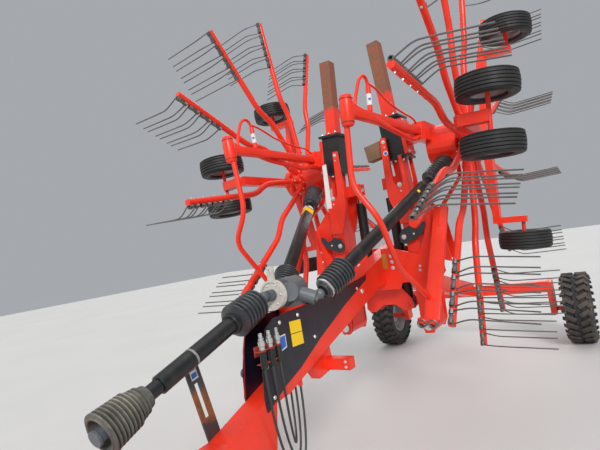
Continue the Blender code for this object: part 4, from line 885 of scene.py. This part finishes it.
# The slotted bar's label in Y and Z, and two fields on it as shares of its height and width.
BAR_LABEL = ((-2.014, 1.068), (-1.976, 1.075), (-1.96, 1.006), (-1.998, 0.998))
BAR_LABEL_X, BAR_FIELD_X, BAR_FIELD_T = -0.0594, -0.0584, 0.0006
BAR_FIELDS, FIELD_FROM, FIELD_TO = ((0.1, 0.42), (0.58, 0.9)), 0.12, 0.88
piece("bar_label", [plate(BAR_LABEL, LABEL_T, lengthwise(BAR_LABEL_X))], WHITE, "chassis")
first, second, third, fourth = [Vector(point) for point in BAR_LABEL]
for number, (low, high) in enumerate(BAR_FIELDS, 1):
    corners = [first.lerp(fourth, down).lerp(second.lerp(third, down), along)
               for down, along in ((low, FIELD_FROM), (low, FIELD_TO), (high, FIELD_TO),
                                   (high, FIELD_FROM))]
    piece("bar_label_field_" + str(number),
          [plate(corners, BAR_FIELD_T, lengthwise(BAR_FIELD_X))], BLUE, "chassis")
piece("bar_bolt", bolt((-0.0598, -1.996, 1.087), (1, 0, 0), 0.009), ZINC, "chassis")
piece("guard_cap", dome((-0.0655, -1.668, 0.93), (-1, 0, 0), 0.024), SILVER, "chassis")
# Edge strips of the -X side guard: ends, width, depth, side and rounding.
EDGE_TOP, EDGE_BEND, EDGE_FOOT = ((-0.0625, -1.617, 1.13), (-0.0625, -1.652, 1.034),
                                  (-0.0625, -1.69, 0.815))
EDGE_BAR = (0.0075, 0.006, (1, 0, 0), 0.001)
edge = [bar(EDGE_BEND, EDGE_FOOT, *EDGE_BAR), bar(EDGE_TOP, EDGE_BEND, *EDGE_BAR)]
# The strips' darker red is painted shade.
piece("guard_edge", edge, RED_PAINTED_SHADE_AND_DIRT, "chassis")

DISC_RIM = ((0.066, -0.016), (0.078, -0.016), (0.078, 0.016), (0.066, 0.016))
DISC_BOLTS, DISC_CIRCLE, DISC_FACE_Y = 6, 0.055, -1.4403
rim = lathe(DISC_RIM, 40, DISC_AT, (DISC_AT[0], DISC_AT[1] + 1, DISC_AT[2]))
piece("disc_rim", [rim], CREAM, "chassis")
disc_bolts = []
for index in range(DISC_BOLTS):
    angle = index * ROUND / DISC_BOLTS
    place = (DISC_CIRCLE * cos(angle), DISC_FACE_Y, DISC_AT[2] + DISC_CIRCLE * sin(angle))
    disc_bolts += bolt(place, (0, -1, 0), 0.006)
piece("disc_bolts", disc_bolts, ZINC, "chassis")


# ---- bolts, labels and stop block on the arms
FORK_FACE_Y, FOOT_FACE_Y, FOOT_BOLT_X, FOOT_BOLT_Z = 0.1212, 0.0931, 0.49, (1.42, 1.34)
# X, Z and size on the fork plates.
FORK_BOLTS = ((0.212, 2.175, 0.013), (0.214, 2.135, 0.005), (0.286, 1.838, 0.016), (0.29, 1.791, 0.006))
SLEEVE_OUT, SLEEVE_FRONT_Y, SLEEVE_Z, BOLT_REACH = 0.106, -0.085, (2.075, 2.315), 0.06
# Z of the sleeve's two ends, and the way that each one faces.
SLEEVE_ENDS = ((2.024, -1), (2.366, 1))
for side, tag in SIDES:
    body = "arm_" + tag
    shapes = []
    for way in (-1, 1):
        for x, z, size in FORK_BOLTS:
            shapes += bolt((side * x, way * FORK_FACE_Y, z), (0, way, 0), size)
    for z in FOOT_BOLT_Z:
        shapes += dome((side * FOOT_BOLT_X, -FOOT_FACE_Y, z), (0, -1, 0), 0.01)
    for z in SLEEVE_Z:
        for y in (-BOLT_REACH, BOLT_REACH):
            shapes += bolt((side * (arm_x(z) + SLEEVE_OUT), y, z), (side, 0, 0), 0.011)
    piece("arm_bolts_" + tag, shapes, ZINC, body)
    shapes = []
    for z, way in SLEEVE_ENDS:
        for x in (-BOLT_REACH, 0.0, BOLT_REACH):
            shapes += bolt((side * (arm_x(z) + x), SLEEVE_FRONT_Y, z), (0, 0, way), 0.011)
    piece("sleeve_bolts_" + tag, shapes, ZINC, body)

STRIP = ((-0.338, 2.12), (-0.3, 2.125), (-0.308, 1.765), (-0.355, 1.765))
STRIP_Y, MARK_X, MARK_Z, MARK_RING_Y = -0.1218, 0.218, 2.09, (-0.121, -0.1225)
piece("white_strip_l", [plate(STRIP, LABEL_T, upright(STRIP_Y))], WHITE, "arm_l")
piece("blue_mark_r", dome((MARK_X, STRIP_Y, MARK_Z), (0, -1, 0), 0.013), BLUE, "arm_r")
ring_from, ring_to = [(MARK_X, y, MARK_Z) for y in MARK_RING_Y]
piece("blue_mark_ring_r", [rod(ring_from, ring_to, 0.018, 24)], WHITE, "arm_r")
stop = [bar((0.186, -0.05, 2.14), (0.045, -0.05, 2.118), 0.125, 0.09, (0, 0, 1), 0.006),
        bar((0.2, -0.05, 2.14), (0.185, -0.05, 2.14), 0.15, 0.11, (0, 0, 1), 0.003)]
piece("stop_block_r", stop, BROWN, "arm_r")


# ---- guards, in the axes of the +X unit: bar, flange, sleeve, bent tubes, post, foot and hoop
GUARD_START, GUARD_SLEEVE, GUARD_W = (-0.245, -0.29, 0.085), (-0.27, -1.35, 0.07), 0.055
FLANGE, FLANGE_W, FLANGE_T = ((-0.245, -0.2915, 0.025), (-0.245, -0.2915, 0.145)), 0.072, 0.0124
GUARD_TUBE_R, GUARD_BEND = 0.0168, 0.075
GUARD_TUBES = (((-0.28, -1.35, 0.1), (-0.285, -1.34, -0.34), (-0.15, -1.33, -0.53),
                (-0.16, -1.1, -0.82), (-0.09, -0.83, -1.04)),
               ((-0.08, 0.06, -0.1), (-0.06, 0.06, -0.25), (-0.06, -0.2, -0.36),
                (-0.086, -0.43, -0.49), (-0.081, -0.523, -0.62)),
               ((-0.27, -1.35, 0.12), (-0.24, -0.9, 0.04), (-0.24, -0.42, 0.0), (-0.24, -0.292, 0.05)))
POST, POST_W, POST_T = ((-0.086, -0.43, -0.49), (-0.062, -0.91, -1.165)), 0.095, 0.028
FOOT, FOOT_HALF, FOOT_W = (-0.087, -0.91, -1.165), 0.06, 0.034
HOOP = ((-0.262, -1.06, 0.09), (-0.262, -1.06, 0.28), (-0.262, -1.1, 0.32),
        (-0.264, -1.17, 0.29), (-0.266, -1.245, 0.15), (-0.267, -1.255, 0.08))
HOOP_R, HOOP_BEND = 0.0105, 0.05
RAIL = ((-0.262, -1.055, 0.28), (-0.258, -0.96, 0.27), (-0.255, -0.8, 0.215),
        (-0.25, -0.55, 0.18), (-0.25, -0.36, 0.175), (-0.25, -0.285, 0.14))
RAIL_R, RAIL_BEND = 0.0075, 0.1
# Sleeves on the hoop's front leg: name, bottom, top, radius, chamfer and finish.
HOOP_LEG = (-0.262, -1.06)
HOOP_SLEEVES = (("hoop_sleeve_", 0.11, 0.262, 0.0155, 0.002, PAINT),
                ("hoop_label_", 0.148, 0.215, 0.016, 0.0004, WHITE))
HOOP_MARK, MARK_SHIFT = (-0.262, -1.0735, 0.182), 0.009
SLEEVE_LINE = ((0, -0.085), (0.029, -0.085), (0.034, -0.079), (0.039, -0.035),
               (0.039, 0.035), (0.034, 0.079), (0.029, 0.085), (0, 0.085))
RING_IN, RING_OUT, RING_T, RING_HEIGHTS = 0.0355, 0.0385, 0.004, (-0.066, 0.062)
SPRING_OUT, SPRING_DROP, SPRING_HALF, SPRING_R, COIL_WIRE_R = 0.032, 0.012, 0.03, 0.025, 0.005
for side, tag in SIDES:
    axes = unit_axes(side)
    body = "arm_" + tag

    def at(point, axes=axes, side=side):
        """World place of a point of the +X unit, on this side."""
        return axes @ Vector((side * point[0], point[1], point[2]))

    along_x = axes.to_3x3() @ Vector((1, 0, 0))
    up = axes.to_3x3() @ Vector((0, 0, 1))
    sleeve = at(GUARD_SLEEVE)
    shapes = [bar(at(GUARD_START), sleeve, GUARD_W, GUARD_W, along_x, 0.006),
              bar(at(FLANGE[0]), at(FLANGE[1]), FLANGE_W, FLANGE_T, along_x, 0.003),
              lathe(SLEEVE_LINE, 28, sleeve, sleeve + up, False)]
    for points in GUARD_TUBES:
        route = rounded([at(point) for point in points], GUARD_BEND, 5)
        shapes.append(tube(route, GUARD_TUBE_R, 14))
    shapes.append(bar(at(POST[0]), at(POST[1]), POST_W, POST_T, along_x, 0.004))
    foot_ends = [at((FOOT[0] + reach, *FOOT[1:])) for reach in (-FOOT_HALF, FOOT_HALF)]
    shapes.append(bar(*foot_ends, FOOT_W, FOOT_W, up, 0.004))
    piece("guard_frame_" + tag, shapes, PAINT, body, ("guard_" + tag,))
    shapes = [tube(rounded([at(point) for point in HOOP], HOOP_BEND, 4), HOOP_R, 12),
              tube(rounded([at(point) for point in RAIL], RAIL_BEND, 4), RAIL_R, 10)]
    piece("guard_hoop_" + tag, shapes, PAINT, body)
    rings = []
    for low in RING_HEIGHTS:
        high = low + RING_T
        section = ((RING_IN, low), (RING_OUT, low), (RING_OUT, high), (RING_IN, high))
        rings.append(lathe(section, 28, sleeve, sleeve + up))
    # The rings' darker red is painted shade.
    piece("guard_rings_" + tag, rings, RED_PAINTED_SHADE_AND_DIRT, body)
    coils = []
    for shift in (-SPRING_OUT, SPRING_OUT):
        middle = Vector((FOOT[0] + shift, FOOT[1], FOOT[2] - SPRING_DROP))
        reach = Vector((0, SPRING_HALF, 0))
        route = helix(at(middle - reach), at(middle + reach), SPRING_R, 5, 10)
        coils.append(tube(route, COIL_WIRE_R, 6))
    piece("guard_coils_" + tag, coils, STEEL, body)
    for name, low, high, radius, cut, mat in HOOP_SLEEVES:
        shape = rod(at((*HOOP_LEG, low)), at((*HOOP_LEG, high)), radius, 18, cut)
        piece(name + tag, [shape], mat, body)
    mark = at((HOOP_MARK[0] + side * MARK_SHIFT, *HOOP_MARK[1:]))
    piece("hoop_mark_" + tag, dome(mark, (0.4, -1, 0), 0.008), BLUE, body)


# ---- hooks that hold the folded arms: X and Z
HOOK = ((0.235, 1.415), (0.275, 1.4), (0.34, 1.425), (0.4, 1.452), (0.436, 1.51),
        (0.434, 1.545), (0.408, 1.536), (0.385, 1.503), (0.352, 1.5), (0.318, 1.528),
        (0.262, 1.51), (0.232, 1.465))
HOOK_Y, HOOK_T, HOOK_SOFT, HOOK_FACE_Y = -0.1497, 0.012, 0.0015, -0.156
for side, tag in SIDES:
    outline = [(side * x, z) for x, z in HOOK]
    piece("latch_hook_" + tag, [plate(outline, HOOK_T, upright(HOOK_Y), HOOK_SOFT)],
          GREY_PLATE, "chassis", ("arm_latch_" + tag,))
    heads = bolt((side * 0.268, HOOK_FACE_Y, 1.452), (0, -1, 0), 0.016)
    heads += dome((side * 0.345, HOOK_FACE_Y, 1.465), (0, -1, 0), 0.008)
    piece("latch_bolts_" + tag, heads, ZINC, "chassis")


# ---- couplings and their bracket
# Centre and size of the bracket's three plates.
BRACKET = (((0.0835, -1.64, 1.045), (0.0345, 0.165, 0.008)),
           ((0.069, -1.64, 1.045), (0.005, 0.168, 0.048)),
           ((0.0855, -1.64, 0.985), (0.036, 0.15, 0.006)))
COUPLER_LIFT, SLEEVE_TOP, SLEEVE_R, RING_TOP, RING_TOP_R = 0.0003, 0.078, 0.016, 0.086, 0.0169
# Bottom, top and radius of a coupling's steps.
COUPLING = ((0.086, 0.104, 0.0135), (0.104, 0.128, 0.0165), (0.128, 0.142, 0.012), (0.142, 0.165, 0.009))
bracket = [box(centre, size, None, 0.002) for centre, size in BRACKET]
sleeves, silver = [], []
up = Vector((0, 0, 1))
for y, *_ in HOSES:
    foot = Vector((COUPLER_X, y, COUPLER_Z + COUPLER_LIFT))
    sleeves.append(rod(foot, foot + up * SLEEVE_TOP, SLEEVE_R, 18, 0.003))
    bracket.append(rod(foot + up * SLEEVE_TOP, foot + up * RING_TOP, RING_TOP_R, 18))
    for low, high, radius in COUPLING:
        silver.append(rod(foot + up * low, foot + up * high, radius, 18, 0.0015))
# The bracket's darker red is painted shade.
piece("coupling_bracket", bracket, RED_PAINTED_SHADE_AND_DIRT, "chassis", ("hose_holder",))
piece("coupling_sleeves", sleeves, PLASTIC, "chassis")
piece("couplings", silver, SILVER, "chassis")


# ---- floor and light
FLOOR_REACH = 30
ground = bpy.data.meshes.new("floor")
ground.from_pydata([(x * FLOOR_REACH, y * FLOOR_REACH, 0)
                    for x, y in ((-1, -1), (1, -1), (1, 1), (-1, 1))], [], [(0, 1, 2, 3)])
ground.materials.append(FLOOR)
floor = new_object("floor", ground)
floor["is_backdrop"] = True

# Name, place, breadth in degrees, and strength. All aim at one point.
LIGHTS = (("key", (4.5, -6.0, 5.5), 18.0, 2.3), ("fill", (-5.0, -4.0, 5.0), 60.0, 0.55),
          ("top", (0.5, 1.0, 8.0), 60.0, 0.55), ("rear", (-2.5, 7.0, 5.0), 40.0, 0.75))
LIGHT_AIM = (0, -0.2, 1.5)
SKY_TINT, SKY_POWER = (0.9, 0.94, 1.0, 1.0), 0.42
for name, place, spread, power in LIGHTS:
    data = bpy.data.lights.new(name, "SUN")
    data.angle = radians(spread)
    data.energy = power
    light = new_object(name, data)
    light.matrix_world = axes_along(place, LIGHT_AIM) @ Matrix.Rotation(pi, 4, "X")
world = bpy.data.worlds.new("studio")
world.use_nodes = True
sky = world.node_tree.nodes["Background"]
sky.inputs["Color"].default_value = SKY_TINT
sky.inputs["Strength"].default_value = SKY_POWER
bpy.context.scene.world = world
bpy.context.scene.view_settings.view_transform = "Standard"

low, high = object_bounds()
